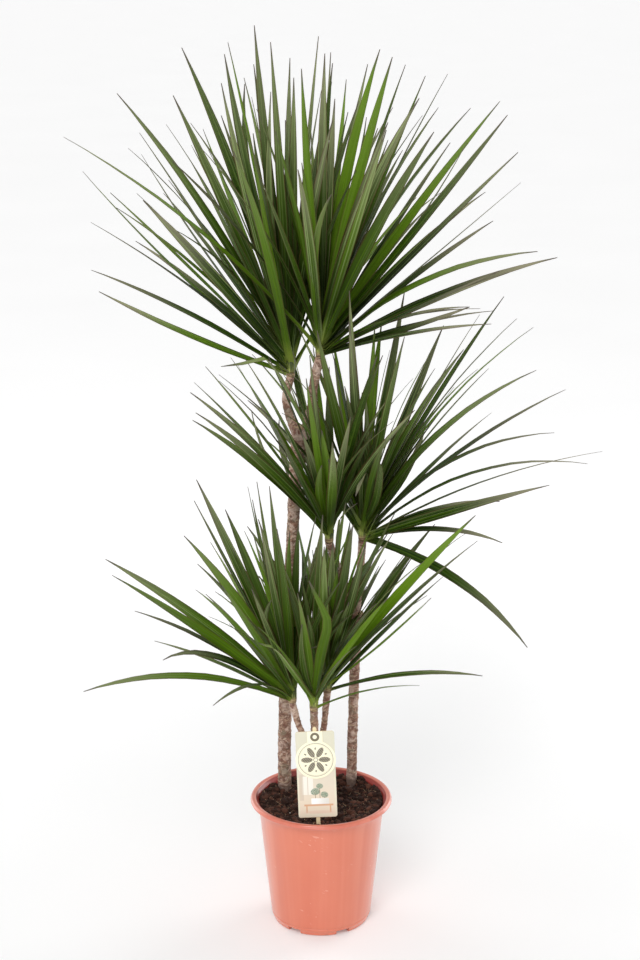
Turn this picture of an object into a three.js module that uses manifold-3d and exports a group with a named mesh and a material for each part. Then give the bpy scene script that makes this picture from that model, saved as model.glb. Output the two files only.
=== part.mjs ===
// A potted dragon tree: three woody canes that fork into seven heads of long narrow leaves, in a
// plastic nursery pot filled with peat, with a plant label on a stake.
// Millimetres, +Z up, +X to the right, the viewer at -Y. The origin is under the middle of the pot.

import * as THREE from "three";
import { mergeVertices } from "three/addons/utils/BufferGeometryUtils.js";
import Module from "manifold-3d";

const wasm = await Module();
wasm.setup();

// ---- Driving dimensions -------------------------------------------------------------------------

const GAP = 0.3;                       // clearance between pieces that touch
const OVERCUT = 6;                     // how far a cutter reaches past what it cuts
const WORLD = 1600;                    // larger than the whole part

// Pot
const POT_HEIGHT = 222;
const RIM_RADIUS = 120;
const RIM_INNER_RADIUS = 110;
const RIM_DEPTH = 8;
const SHOULDER_RADIUS = 107;           // outside of the wall just under the rim
const HEEL_RADIUS = 85;                // outside of the wall at its foot
const HEEL_HEIGHT = 8;
const WALL = 2;
const FLOOR_HEIGHT = 13;               // inside of the floor above the table
const FOOT_RADIUS = 82;
const FOOT_INNER_RADIUS = 66;
const FOOT_COUNT = 6;
const FOOT_GAP = 24;                   // width of the gaps between the feet
const FOOT_GAP_HEIGHT = 9;
const FOOT_TURN = THREE.MathUtils.degToRad(-3.5);   // how far the feet are turned to the left
const PAD_RADIUS = 16;                 // round pad under the middle of the floor
const DRAIN_COUNT = 8;
const DRAIN_RADIUS = 5;
const DRAIN_CIRCLE = 46;
const DRAIN_SIDES = 10;
const POT_EDGE = 2;                    // soft edges of the pot
const POT_SIDES = 36;

// Soil
const SOIL_HEIGHT = 206;
const SOIL_ROUGHNESS = 2.2;            // height of the waves on the soil
const SOIL_WAVES = [9, 11, 17];        // their lengths
const SECOND_WAVE = 0.8;               // the diagonal wave's height, as a share of the others
const SOIL_CLEARANCE = 1.5;            // free space between the soil and the wall
const SOIL_SIDES = 30;
const SOIL_RINGS = 5;
const ROOT_END = 112;                  // height where the canes end inside the soil

// Canes
const CANE_SIDES = 10;
const CANE_STEP = 50;                  // length of one segment along a cane
const CUT_DEPTH = 2;                   // how far under its last point a cane is sawn off
const BRANCH_EXCESS = 12;              // extra length of a branch before it is cut level

// Leaves
const EYE = new THREE.Vector3(0, -3000, 1645);   // where the spread of the leaves was measured from
const EYE_TILT = THREE.MathUtils.degToRad(16);   // how far that view looks down
const STATIONS = [0, 0.15, 0.4, 0.66, 0.87];     // places along a blade where it has a section
const STATION_WIDTH = [0.55, 0.8, 1, 0.78, 0.42];
const BLADE_THICKNESS = 1.5;
const LEAF_WIDTH = 15;
const FOLD_AT = STATIONS[3];           // where the tip of a folded leaf hangs over
const CORE_RADIUS = 10.5;
const CORE_HEIGHT = 84;
const CORE_PROFILE = [[0, 0], [0.72, 0], [1, 0.14], [0.95, 0.6], [0.45, 0.88], [0, 1]];   // shares of both
const CORE_SIDES = 10;
const ROOT_OUTWARD = 3;                // how far a root lies from the middle of the head
const ROOT_LOWEST = 4;                 // height of the lowest roots in the head
const ROOT_SPAN = 46;                  // height of the youngest roots above them
const ROOT_CROWDING = 4;               // how much the roots crowd toward the lowest
const LEAST_LIFT = 0.35;               // a leaf steeper than this bows inward instead of upward
const FIRST_STEP = 0.01;               // where the direction of a root is taken
const GOLDEN_ANGLE = THREE.MathUtils.degToRad(137.508);
const LEAF_CLEARANCE = 0.7;            // free space kept between a blade and anything off its head
const BLADE_CLEARANCE = 0.2;           // free space kept between the blades of one head
const SEED = 20417;

// Label
const CARD_WIDTH = 64;
const CARD_HEIGHT = 150;
const CARD_CORNER = 4;
const CARD_THICKNESS = 0.8;
const CARD_BOTTOM = 225;               // height of the card's lower edge
const LABEL_X = -5;
const LABEL_Y = -90;
const LABEL_LEAN = THREE.MathUtils.degToRad(3.5);
const LABEL_ROLL = THREE.MathUtils.degToRad(2.3);
const DISC_RADIUS = 33;
const DISC_HEIGHT = 101;               // centre of the disc above the card's lower edge
const DISC_THICKNESS = 0.8;
const NECK_WIDTH = 25;
const STAKE_WIDTH = 6.5;
const STAKE_THICKNESS = 1.6;
const STAKE_TOP = 157;                 // above the card's lower edge
const STAKE_BOTTOM = -95;
const STAKE_POINT = 10;                // length of the stake's point

// Canes: points up the middle [x, y, z] and the radius there. They grow out of the soil.
const CANES = {
  cane_tall: {
    colour: 0x8d7868,
    stem: [
      [-60, 49, ROOT_END, 11.5], [-63, 51, SOIL_HEIGHT, 11.5], [-62, 51, 330, 10.8], [-58, 51, 470, 10.2],
      [-46, 51, 700, 10.2], [-40, 51, 800, 11.8], [-34, 50, 858, 12.6],
    ],
    branches: {
      leaves_top_left: [[-38, 51, 838, 8.5], [-52, 56, 872, 7], [-57, 62, 902, 6.5], [-50, 65, 935, 6.8]],
      leaves_top_right: [[-28, 48, 838, 9], [-16, 42, 890, 7.5], [-12, 35, 930, 7.3], [-2, 30, 975, 7.6]],
    },
  },
  cane_medium: {
    colour: 0x927c6a,
    stem: [
      [44, 62, ROOT_END, 8.8], [52, 73, SOIL_HEIGHT, 8.8], [54, 78, 300, 8.6], [57, 78, 420, 8.6],
      [61, 76, 500, 9], [62, 75, 527, 9.4],
    ],
    branches: {
      leaves_middle_right: [[60, 75, 512, 6.5], [62, 73, 560, 6.4], [66, 71, 605, 6.4], [69, 70, 654, 6.8]],
      leaves_middle_left: [[57, 74, 508, 6.8], [42, 58, 560, 6.2], [26, 36, 620, 6.2], [13, 20, 666, 6.8]],
    },
  },
  cane_short: {
    colour: 0x8a7563,
    stem: [
      [-10, -22, ROOT_END, 10.2], [-10, -22, SOIL_HEIGHT, 10.2], [-10, -24, 260, 10],
      [-10, -25, 318, 10.6],
    ],
    branches: {
      leaves_low_left: [
        [-12, -24, 302, 6.5], [-27, -23, 335, 5.4], [-38, -22, 362, 5.2], [-48, -20, 400, 6.4],
      ],
      leaves_low_middle: [
        [-9, -27, 302, 7], [-10, -36, 335, 6.2], [-11, -42, 362, 6.2], [-12, -45, 396, 6.8],
      ],
      leaves_low_right: [[-7, -22, 302, 6.5], [2, -14, 335, 5.2], [6, -3, 365, 5], [10, 5, 407, 6.4]],
    },
  },
};

// Heads of leaves. A head stands on the end of its branch, and the spread of its leaves is measured
// from a point `above` that end. `seen` holds the leaves that stand out, each as
// [across, rise, toward, arch, width, turn]: how far the tip lies across and above that point as seen
// from the eye, how far it comes toward the eye, how far the middle bows up, the blade's width, and
// how far the blade is turned to face the eye, in degrees. `folded` holds the leaves with a tip that
// hangs over, each as the place of the fold, the place of the tip, the width and the turn. `more`
// leaves of about `reach` fill the rest of the head by a rule.
const HEADS = {
  leaves_top_left: {
    colour: 0x4d6f2c,
    above: 8,
    reach: 500,
    more: 20,
    seen: [
      [-53, 564, 30, -6, 18, -60], [-110, 517, -60, -4, 19, 60], [-182, 526, 40, 15, 19, 75],
      [-194, 448, 110, 6, 19, -55], [-238, 280, 110, 4, 19, 70], [-27, 536, 120, -3, 16, -10],
      [-97, 536, 60, 2, 10], [41, 546, 40, 0, 11], [-9, 513, -140, 0, 15], [-60, 502, -160, 0, 14],
      [-120, 469, 130, -3, 15, -30], [-283, 453, -60, 19, 15, 35], [-143, 396, -220, 4, 15],
      [-246, 390, 50, 2, 11], [-159, 354, -160, 2, 14], [-338, 328, 40, -12, 12, 20],
      [-194, 316, -240, 6, 16], [-291, 295, -60, 2, 10], [-326, 243, 50, 13, 11, 25],
      [-247, 218, -180, 10, 15], [-321, 170, 80, 9, 16, 25], [-311, 134, -30, -8, 15, 20],
    ],
    folded: [],
  },
  leaves_top_right: {
    colour: 0x56792f,
    above: 12,
    reach: 480,
    more: 18,
    seen: [
      [88, 485, 90, 12, 19, -40], [3, 474, 120, 0, 19], [112, 475, 160, 5, 19, -30],
      [286, 400, 60, 5, 19, 60], [306, 376, 160, 1, 19, 50], [150, 406, 200, 18, 19, -40],
      [179, 350, 260, 11, 19, -40], [-411, 342, 120, 24, 16, 30], [14, 477, -140, 0, 10],
      [130, 461, -90, 2, 11], [-34, 453, 180, 0, 15], [22, 402, 60, 0, 17], [202, 445, 60, 6, 12, 10],
      [171, 437, -160, 6, 10], [46, 435, -220, 2, 14], [107, 357, 270, 2, 14],
      [208, 331, -200, 6, 12], [131, 320, -280, 20, 16], [314, 320, -60, 1, 14, 20],
      [322, 267, 90, 0, 12, 10], [275, 208, -250, 8, 15], [347, 160, 60, 35, 14, 25],
      [382, 147, -40, 18, 16, 25], [285, 131, 160, 0, 14, 20], [274, 72, -120, 7, 12, 10],
      [277, 48, 120, 7, 14, 20],
    ],
    folded: [],
  },
  leaves_middle_right: {
    colour: 0x47692a,
    above: 18,
    reach: 400,
    more: 16,
    seen: [
      [-25, 401, 110, 0, 19], [-20, 350, 50, 0, 19, -20], [75, 397, -110, 2, 18],
      [135, 344, -150, 2, 19, 20],
      [-82, 334, 60, 0, 19, -50], [291, 269, 110, 33, 18, 45], [311, 75, 120, 3, 19, 55],
      [276, -196, 60, 30, 18, 40], [232, 392, -40, 6, 12, 20], [190, 362, 20, 4, 10],
      [252, 357, 60, 18, 11], [286, 337, -60, 32, 11], [64, 324, 220, 2, 14], [-50, 286, -230, 2, 12],
      [336, 237, 20, 18, 15, 15], [210, 200, -240, 6, 12], [-136, 195, 120, 30, 10],
      [317, 165, -90, 44, 14], [399, 134, 30, 20, 11], [377, 110, -60, 50, 12],
    ],
    folded: [
      [[-157, 282, 190], [-240, 274, 220], 19, 30],
      [[3, 100, 70], [-6, 60, 90], 18, 0],
    ],
  },
  leaves_middle_left: {
    colour: 0x3f6127,
    above: 10,
    reach: 380,
    more: 22,
    seen: [
      [-205, 282, 110, 6, 11], [-221, 254, 60, 7, 15, 45], [-225, 241, 160, 12, 14, -50],
      [-215, 213, 200, 9, 15, -50], [-221, 195, 90, 10, 16, 60], [-52, 305, 60, 0, 11],
      [-38, 175, 120, 0, 16], [-5, 180, 140, 0, 18], [12, 150, 200, 0, 18],
      [-34, 298, 130, 0, 12], [-40, 266, 200, 0, 12], [-94, 179, 240, 2, 11],
    ],
    folded: [],
  },
  leaves_low_left: {
    colour: 0x507331,
    above: 1,
    reach: 350,
    more: 15,
    seen: [
      [-159, 369, -30, 2, 19, 50], [45, 262, 60, 0, 19, -40], [-307, 241, 30, 10, 18, 60],
      [-300, 209, 90, 7, 18, 60],
      [-183, 281, 130, 11, 19, -60], [-347, 17, 20, 36, 15, 20], [-41, 359, 90, 2, 16],
      [-54, 367, -100, -10, 9], [-78, 355, 0, 0, 9], [-70, 335, -150, 0, 10], [-163, 334, -60, 0, 9],
      [-115, 319, -130, 10, 19, 30], [-54, 300, 220, 0, 14], [-17, 285, 230, 0, 15],
      [-133, 269, -200, 4, 10], [-123, 201, 250, 2, 15], [-136, 186, -260, 4, 14],
      [-262, 153, -120, 18, 11], [-111, 133, 240, 6, 12], [-227, 106, -160, 8, 10],
      [-131, -5, 170, 30, 12],
    ],
    folded: [],
  },
  leaves_low_middle: {
    colour: 0x5a7c35,
    above: 8,
    reach: 320,
    more: 24,
    seen: [
      [10, 318, 60, 2, 15], [15, 270, -40, 0, 19, 30], [-23, 186, 200, 2, 14], [177, 36, 60, 10, 11],
    ],
    folded: [
      [[-62, 92, 150], [-88, 102, 190], 19, 10],
      [[20, 140, 150], [-15, 208, 170], 18, 10],
      [[10, 98, 70], [-2, 92, 90], 14, 0],
    ],
  },
  leaves_low_right: {
    colour: 0x466a2a,
    above: 1,
    reach: 360,
    more: 24,
    seen: [
      [250, 296, 40, 9, 18, 50], [10, 255, 100, 0, 19, 20], [-12, 240, 160, 0, 18],
      [247, 252, 90, 8, 15, 40], [60, 245, 120, -8, 19, -30],
      [45, 277, 190, 2, 18], [145, 227, -200, 2, 12], [192, 194, -160, 4, 12],
      [165, 160, 150, -8, 10], [259, 34, 40, 14, 12, 10],
    ],
    folded: [
      [[22, 292, 60], [53, 318, 80], 15, 40],
    ],
  },
};

// Rule for the other leaves of a head: the steepness of the lowest of them in degrees, by the way
// they face, and the steepness of the youngest. The lists after them say how a leaf is moved until it
// has room: nearer to the eye or farther, turned round its head, and lifted.
const LOWEST_IN_FRONT = 44;
const LOWEST_AT_SIDES = 52;
const LOWEST_BEHIND = 16;
const STEEPEST = 84;
const RULED_ANGLE_SPREAD = 0.2;        // how far such a leaf strays from the spiral, in radians
const RULED_SHORTEST = 0.8;            // the shortest of them, as a share of the head's reach
const RULED_ARCH = [0.02, 0.07];       // how far they bow up, as a share of their length
const RULED_WIDTH = [12, 18];
const RULED_TURN = 20;                 // how far they turn about themselves either way, in degrees
const NEARER = [0, 30, -30, 60, -60, 90, -90, 130, -130];
const TURNS_ASIDE = [0, 4, -4, 8, -8, 13, -13, 19, -19];
const LIFTS_ASIDE = [0, 5, -5];
const TURNS_SMALL = [2, -2, 4, -4, 7, -7];

// ---- Solids ------------------------------------------------------------------------------------

// A closed mesh with merged corners, as a solid that can be joined and cut.
function toSolid(geometry) {
  const bare = geometry.index ? geometry.clone() : geometry;
  bare.deleteAttribute("normal");
  bare.deleteAttribute("uv");
  const merged = mergeVertices(bare, 1e-4);
  const index = merged.index.array;
  const triangles = [];
  for (let i = 0; i < index.length; i += 3) {
    const [a, b, c] = [index[i], index[i + 1], index[i + 2]];
    if (a !== b && b !== c && c !== a) triangles.push(a, b, c);
  }
  const vertProperties = new Float32Array(merged.attributes.position.array);
  const mesh = { numProp: 3, vertProperties, triVerts: new Uint32Array(triangles) };
  const solid = new wasm.Manifold(new wasm.Mesh(mesh));
  if (solid.volume() > 0) return solid;
  for (let i = 0; i < triangles.length; i += 3) {
    [triangles[i], triangles[i + 1]] = [triangles[i + 1], triangles[i]];
  }
  mesh.triVerts = new Uint32Array(triangles);
  return new wasm.Manifold(new wasm.Mesh(mesh));
}

// The largest closed body of a solid, without sealed hollows and loose scraps.
function largestBody(solid) {
  const bodies = solid.decompose();
  return bodies.reduce((best, body) => (body.volume() > best.volume() ? body : best));
}

function toGeometry(solid) {
  const mesh = solid.getMesh();
  const geometry = new THREE.BufferGeometry();
  geometry.setAttribute("position", new THREE.BufferAttribute(mesh.vertProperties, 3));
  geometry.setIndex(new THREE.BufferAttribute(mesh.triVerts, 1));
  geometry.computeVertexNormals();
  return geometry;
}

// A closed skin over rings of equal size. The last ring may be a single point.
function loft(rings) {
  const size = rings[0].length;
  const points = rings.flat();
  const index = [];
  for (let r = 0; r + 1 < rings.length; r++) {
    const low = r * size;
    const high = low + size;
    for (let i = 0; i < size; i++) {
      const next = (i + 1) % size;
      if (rings[r + 1].length === 1) {
        index.push(low + i, low + next, high);
      } else {
        index.push(low + i, low + next, high + next, low + i, high + next, high + i);
      }
    }
  }
  for (let i = 1; i + 1 < size; i++) {
    index.push(0, i + 1, i);
    const top = points.length - size;
    if (rings.at(-1).length > 1) index.push(top, top + i, top + i + 1);
  }
  const geometry = new THREE.BufferGeometry().setFromPoints(points);
  geometry.setIndex(index);
  return geometry;
}

// A solid of revolution about +Z from [radius, height] pairs.
function turned(profile, sides) {
  const points = profile.map(([radius, height]) => new THREE.Vector2(radius, height));
  return new THREE.LatheGeometry(points, sides).rotateX(Math.PI / 2);
}

function cylinder(radius, bottom, top, sides, x = 0, y = 0) {
  const geometry = new THREE.CylinderGeometry(radius, radius, top - bottom, sides);
  return geometry.rotateX(Math.PI / 2).translate(x, y, (bottom + top) / 2);
}

// ---- Pot ---------------------------------------------------------------------------------------

// Outside radius of the wall, which widens evenly from heel to shoulder.
function wallRadius(height) {
  const rise = (height - HEEL_HEIGHT) / (POT_HEIGHT - RIM_DEPTH - HEEL_HEIGHT);
  return HEEL_RADIUS + (SHOULDER_RADIUS - HEEL_RADIUS) * rise;
}

function pot() {
  const underRim = POT_HEIGHT - RIM_DEPTH;
  const lipMiddle = (RIM_RADIUS + RIM_INNER_RADIUS) / 2;
  const innerFloor = wallRadius(FLOOR_HEIGHT) - WALL;
  const profile = [
    [0, 0],
    [PAD_RADIUS, 0],
    [PAD_RADIUS + POT_EDGE, HEEL_HEIGHT],
    [FOOT_INNER_RADIUS - POT_EDGE, HEEL_HEIGHT],
    [FOOT_INNER_RADIUS, 0],
    [FOOT_RADIUS - POT_EDGE / 2, 0],
    [FOOT_RADIUS, POT_EDGE],
    [FOOT_RADIUS, HEEL_HEIGHT - POT_EDGE],
    [HEEL_RADIUS - POT_EDGE, HEEL_HEIGHT - POT_EDGE / 2],
    [HEEL_RADIUS, HEEL_HEIGHT + POT_EDGE],
    [wallRadius(underRim), underRim],
    [RIM_RADIUS - POT_EDGE, underRim],
    [RIM_RADIUS, underRim + POT_EDGE],
    [RIM_RADIUS, POT_HEIGHT - 1.5 * POT_EDGE],
    [RIM_RADIUS - POT_EDGE, POT_HEIGHT - POT_EDGE / 3],
    [lipMiddle, POT_HEIGHT],
    [RIM_INNER_RADIUS + POT_EDGE, POT_HEIGHT - POT_EDGE / 3],
    [RIM_INNER_RADIUS, POT_HEIGHT - 1.5 * POT_EDGE],
    [wallRadius(underRim) - WALL, underRim],
    [innerFloor, FLOOR_HEIGHT + POT_EDGE],
    [innerFloor - POT_EDGE, FLOOR_HEIGHT],
    [0, FLOOR_HEIGHT],
  ];
  let solid = toSolid(turned(profile, POT_SIDES));
  for (let i = 0; i < FOOT_COUNT; i++) {
    const gapLength = HEEL_RADIUS - FOOT_INNER_RADIUS + 2 * OVERCUT;
    const gap = new THREE.BoxGeometry(gapLength, FOOT_GAP, 2 * FOOT_GAP_HEIGHT);
    gap.translate((HEEL_RADIUS + FOOT_INNER_RADIUS) / 2, 0, 0);
    gap.rotateZ(((i + 0.5) * 2 * Math.PI) / FOOT_COUNT - Math.PI / 2 + FOOT_TURN);
    solid = solid.subtract(toSolid(gap));
  }
  for (let i = 0; i < DRAIN_COUNT; i++) {
    const angle = (i * 2 * Math.PI) / DRAIN_COUNT;
    const x = DRAIN_CIRCLE * Math.cos(angle);
    const y = DRAIN_CIRCLE * Math.sin(angle);
    const hole = cylinder(DRAIN_RADIUS, HEEL_HEIGHT - OVERCUT, FLOOR_HEIGHT + OVERCUT, DRAIN_SIDES, x, y);
    solid = solid.subtract(toSolid(hole));
  }
  return solid;
}

// ---- Canes -------------------------------------------------------------------------------------

// A stem along hand-set points, each with its radius, in short segments.
function stem(rows, extra = 0) {
  const curve = new THREE.CatmullRomCurve3(rows.map(([x, y, z]) => new THREE.Vector3(x, y, z)));
  const radii = rows.map((row) => row[3]);
  const steps = Math.max(3, Math.round(curve.getLength() / CANE_STEP));
  const rings = [];
  for (let s = 0; s <= steps; s++) {
    const place = (s / steps) * (rows.length - 1);
    const low = Math.min(Math.floor(place), rows.length - 2);
    const radius = THREE.MathUtils.lerp(radii[low], radii[low + 1], place - low) + extra;
    const middle = curve.getPoint(s / steps);
    const along = curve.getTangent(s / steps);
    const across = new THREE.Vector3(0, 1, 0).cross(along).normalize();
    const deep = along.clone().cross(across);
    const ring = [];
    for (let i = 0; i < CANE_SIDES; i++) {
      const angle = (i * 2 * Math.PI) / CANE_SIDES;
      const point = middle.clone().addScaledVector(across, radius * Math.cos(angle));
      ring.push(point.addScaledVector(deep, radius * Math.sin(angle)));
    }
    rings.push(ring);
  }
  return toSolid(loft(rings));
}

// Everything above a height, as a cutter that leaves a level face.
function above(height) {
  return toSolid(new THREE.BoxGeometry(WORLD, WORLD, WORLD).translate(0, 0, height + WORLD / 2));
}

// One cane with its branches. Each branch ends level, just under its head of leaves.
function cane({ stem: rows, branches }) {
  let solid = stem(rows).subtract(above(rows.at(-1)[2] - CUT_DEPTH));
  for (const points of Object.values(branches)) {
    const [x, y, top, radius] = points.at(-1);
    const longer = [...points.slice(0, -1), [x, y, top + BRANCH_EXCESS, radius]];
    solid = solid.add(stem(longer).subtract(above(top - GAP)));
  }
  return largestBody(solid);
}

// ---- Soil --------------------------------------------------------------------------------------

// Height of the rough surface at a place on it.
function soilHeight(x, y) {
  const [first, second, diagonal] = SOIL_WAVES;
  const waves = Math.sin(x / first) * Math.cos(y / second)
    + Math.sin((x + 2 * y) / diagonal) * SECOND_WAVE;
  return SOIL_HEIGHT + SOIL_ROUGHNESS * waves;
}

function soil(holes) {
  const edge = wallRadius(SOIL_HEIGHT) - WALL - SOIL_CLEARANCE;
  const bottom = wallRadius(FLOOR_HEIGHT) - WALL - SOIL_CLEARANCE;
  const profile = [
    [0, FLOOR_HEIGHT + GAP],
    [bottom - POT_EDGE, FLOOR_HEIGHT + GAP],
    [bottom, FLOOR_HEIGHT + POT_EDGE + GAP],
  ];
  for (let ring = 0; ring <= SOIL_RINGS; ring++) {
    profile.push([edge * (1 - ring / SOIL_RINGS), SOIL_HEIGHT]);
  }
  const geometry = turned(profile, SOIL_SIDES);
  const position = geometry.attributes.position;
  for (let i = 0; i < position.count; i++) {
    const [x, y, z] = [position.getX(i), position.getY(i), position.getZ(i)];
    if (z > SOIL_HEIGHT - 1) position.setZ(i, soilHeight(x, y));
  }
  return holes.reduce((solid, hole) => solid.subtract(hole), toSolid(geometry));
}

// ---- Leaves ------------------------------------------------------------------------------------

const UP = new THREE.Vector3(0, 0, 1);

// Random numbers between 0 and 1 from a fixed seed.
function seededRandom(seed) {
  let state = seed;
  return () => {
    state = (state * 16807) % 2147483647;
    return state / 2147483647;
  };
}

// The tip of a leaf that was measured by eye: on the line of sight through its place in the plane
// that faces the eye at the head's base, as far toward the eye as stated.
function seenTip(base, across, rise, toward) {
  const tip = base.clone();
  tip.x += across;
  tip.y += rise * Math.sin(EYE_TILT);
  tip.z += rise * Math.cos(EYE_TILT);
  const sight = tip.clone().sub(EYE).normalize();
  const distance = (base.y - toward - tip.y) / sight.y;
  return tip.addScaledVector(sight, distance);
}

// A leaf's middle line: a single arch, or straight to the fold and straight on to the tip.
class FoldedLine extends THREE.Curve {
  constructor(root, fold, tip) {
    super();
    Object.assign(this, { root, fold, tip });
  }

  getPoint(t, target = new THREE.Vector3()) {
    if (t <= FOLD_AT) return target.lerpVectors(this.root, this.fold, t / FOLD_AT);
    return target.lerpVectors(this.fold, this.tip, (t - FOLD_AT) / (1 - FOLD_AT));
  }
}

function leafLine({ root, tip, arch, fold, facing }) {
  if (fold) return new FoldedLine(root, fold, tip);
  const along = tip.clone().sub(root).normalize();
  const lift = UP.clone().addScaledVector(along, -UP.dot(along));
  if (lift.length() < LEAST_LIFT) lift.copy(facing).negate().addScaledVector(along, facing.dot(along));
  const bend = root.clone().lerp(tip, 0.5).addScaledVector(lift.normalize(), 2 * arch);
  return new THREE.QuadraticBezierCurve3(root, bend, tip);
}

// A blade as three-sided sections (left edge, right edge, keel) along its line, closed by its tip.
function bladeRings(leaf, extra = 0) {
  const line = leafLine(leaf);
  const side = leaf.facing.clone().cross(UP).normalize();
  const rings = STATIONS.map((place, i) => {
    const middle = line.getPoint(place);
    const tangent = line.getTangent(Math.max(place, FIRST_STEP));
    const across = side.clone().applyAxisAngle(tangent, leaf.turn);
    across.addScaledVector(tangent, -across.dot(tangent)).normalize();
    const under = tangent.clone().cross(across);
    const half = (leaf.width * STATION_WIDTH[i]) / 2 + extra;
    const left = middle.clone().addScaledVector(across, -half).addScaledVector(under, -extra);
    const right = middle.clone().addScaledVector(across, half).addScaledVector(under, -extra);
    return [left, right, middle.clone().addScaledVector(under, BLADE_THICKNESS + 2 * extra)];
  });
  return [...rings, [line.getPoint(1)]];
}

// A leaf from its tip: older leaves, which lie flatter, leave the head lower down.
function leafTo(base, tip, arch, width, turn, fold = null) {
  const spread = (fold ?? tip).clone().sub(base);
  const facing = new THREE.Vector3(spread.x, spread.y, 0).normalize();
  const steepness = THREE.MathUtils.clamp(spread.z / spread.length(), 0, 1);
  const root = base.clone().addScaledVector(facing, ROOT_OUTWARD);
  root.z += ROOT_LOWEST + ROOT_SPAN * steepness ** ROOT_CROWDING;
  return { root, tip, arch, width, turn: THREE.MathUtils.degToRad(turn), facing, fold };
}

// The same leaf bent aside about its head: turned round it and lifted, in degrees.
function bentAside(base, leaf, turned, lifted) {
  const move = (point) => {
    const spread = point.clone().sub(base).applyAxisAngle(UP, THREE.MathUtils.degToRad(turned));
    const sideways = new THREE.Vector3(spread.y, -spread.x, 0).normalize();
    return spread.applyAxisAngle(sideways, THREE.MathUtils.degToRad(lifted)).add(base);
  };
  const turn = THREE.MathUtils.radToDeg(leaf.turn);
  return leafTo(base, move(leaf.tip), leaf.arch, leaf.width, turn, leaf.fold && move(leaf.fold));
}

// For each leaf that stands out, the ways it may lie, from the best: first only nearer to the eye or
// farther away, which looks the same from the eye, then bent aside.
function seenLeaves({ head, base, measured }) {
  const place = ([across, rise, toward], nearer) => seenTip(measured, across, rise, toward + nearer);
  const waysOf = (make) => {
    const ways = NEARER.map(make);
    return [...ways, ...TURNS_SMALL.map((turned) => bentAside(base, ways[0], turned, 0))];
  };
  const plain = head.seen.map(([across, rise, toward, arch, width = LEAF_WIDTH, turn = 0]) =>
    waysOf((nearer) => {
      const tip = place([across, rise, toward], nearer);
      return leafTo(base, tip, arch, width, across < 0 ? -turn : turn);
    }));
  const folded = head.folded.map(([fold, tip, width, turn]) =>
    waysOf((nearer) => {
      const signedTurn = fold[0] < 0 ? -turn : turn;
      return leafTo(base, place(tip, nearer), 0, width, signedTurn, place(fold, nearer));
    }));
  return [...folded, ...plain];
}

// The leaves that fill a head: a spiral at the golden angle, from the youngest, which stand
// upright, to the oldest.
function ruledLeaves({ head, base }, random) {
  const leaves = [];
  for (let i = 0; i < head.more; i++) {
    const age = (i + 0.5) / head.more;
    const angle = i * GOLDEN_ANGLE + random() * RULED_ANGLE_SPREAD;
    const front = -Math.sin(angle);
    const lowest = front > 0
      ? THREE.MathUtils.lerp(LOWEST_AT_SIDES, LOWEST_IN_FRONT, front)
      : THREE.MathUtils.lerp(LOWEST_AT_SIDES, LOWEST_BEHIND, -front);
    const steep = THREE.MathUtils.degToRad(THREE.MathUtils.lerp(STEEPEST, lowest, age));
    const length = head.reach * THREE.MathUtils.lerp(RULED_SHORTEST, 1, random());
    const level = length * Math.cos(steep);
    const tip = new THREE.Vector3(
      level * Math.cos(angle), level * Math.sin(angle), length * Math.sin(steep),
    ).add(base);
    const arch = length * THREE.MathUtils.lerp(...RULED_ARCH, age * random());
    const width = THREE.MathUtils.lerp(...RULED_WIDTH, random());
    const turn = THREE.MathUtils.lerp(-RULED_TURN, RULED_TURN, random());
    const leaf = leafTo(base, tip, arch, width, turn);
    const ways = LIFTS_ASIDE.flatMap((lifted) => TURNS_ASIDE.map((turned) => [turned, lifted]));
    leaves.push(ways.map(([turned, lifted]) => bentAside(base, leaf, turned, lifted)));
  }
  return leaves;
}

// The middle of a head, which the leaves grow out of.
function core(base) {
  const profile = CORE_PROFILE.map(([radius, height]) => [radius * CORE_RADIUS, height * CORE_HEIGHT]);
  return toSolid(turned(profile, CORE_SIDES).translate(base.x, base.y, base.z));
}

function boxesMeet(a, b) {
  return a.min.every((low, i) => low <= b.max[i] && b.min[i] <= a.max[i]);
}

function clearOf(solid, others) {
  const box = solid.boundingBox();
  return others.every((other) => !boxesMeet(box, other.box) || solid.intersect(other.solid).isEmpty());
}

function withBox(solid) {
  return { solid, box: solid.boundingBox() };
}

// Grows one leaf on its head in the first way that has room: clear of everything else, and clear of
// the head's other blades outside the crowded roots.
function grow(head, ways, strangers) {
  for (const leaf of ways) {
    const guard = toSolid(loft(bladeRings(leaf, LEAF_CLEARANCE)));
    const ownGuard = toSolid(loft(bladeRings(leaf, BLADE_CLEARANCE).slice(1)));
    if (clearOf(guard, strangers) && clearOf(ownGuard, head.blades)) {
      const rings = bladeRings(leaf);
      head.blades.push(withBox(toSolid(loft(rings.slice(1)))));
      return toSolid(loft(rings));
    }
  }
  return null;
}

function growHeads(obstacles) {
  const random = seededRandom(SEED);
  const heads = Object.entries(HEADS).map(([name, head]) => {
    const branch = Object.values(CANES).map((one) => one.branches[name]).find(Boolean);
    const base = new THREE.Vector3(...branch.at(-1).slice(0, 3));
    const measured = base.clone().addScaledVector(UP, head.above);
    return { name, head, base, measured, blades: [], parts: [withBox(core(base))] };
  });
  const growAll = (chooseLeaves) => {
    for (const head of heads) {
      const others = heads.filter((other) => other !== head).flatMap((other) => other.parts);
      for (const ways of chooseLeaves(head)) {
        const blade = grow(head, ways, [...obstacles, ...others]);
        if (blade) head.parts.push(withBox(blade));
      }
    }
  };
  growAll(seenLeaves);
  growAll((head) => ruledLeaves(head, random));
  return heads.map(({ name, head, parts }) => {
    const solid = parts.map((part) => part.solid).reduce((joined, part) => joined.add(part));
    return { name, colour: head.colour, solid: largestBody(solid) };
  });
}

// ---- Label -------------------------------------------------------------------------------------

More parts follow.
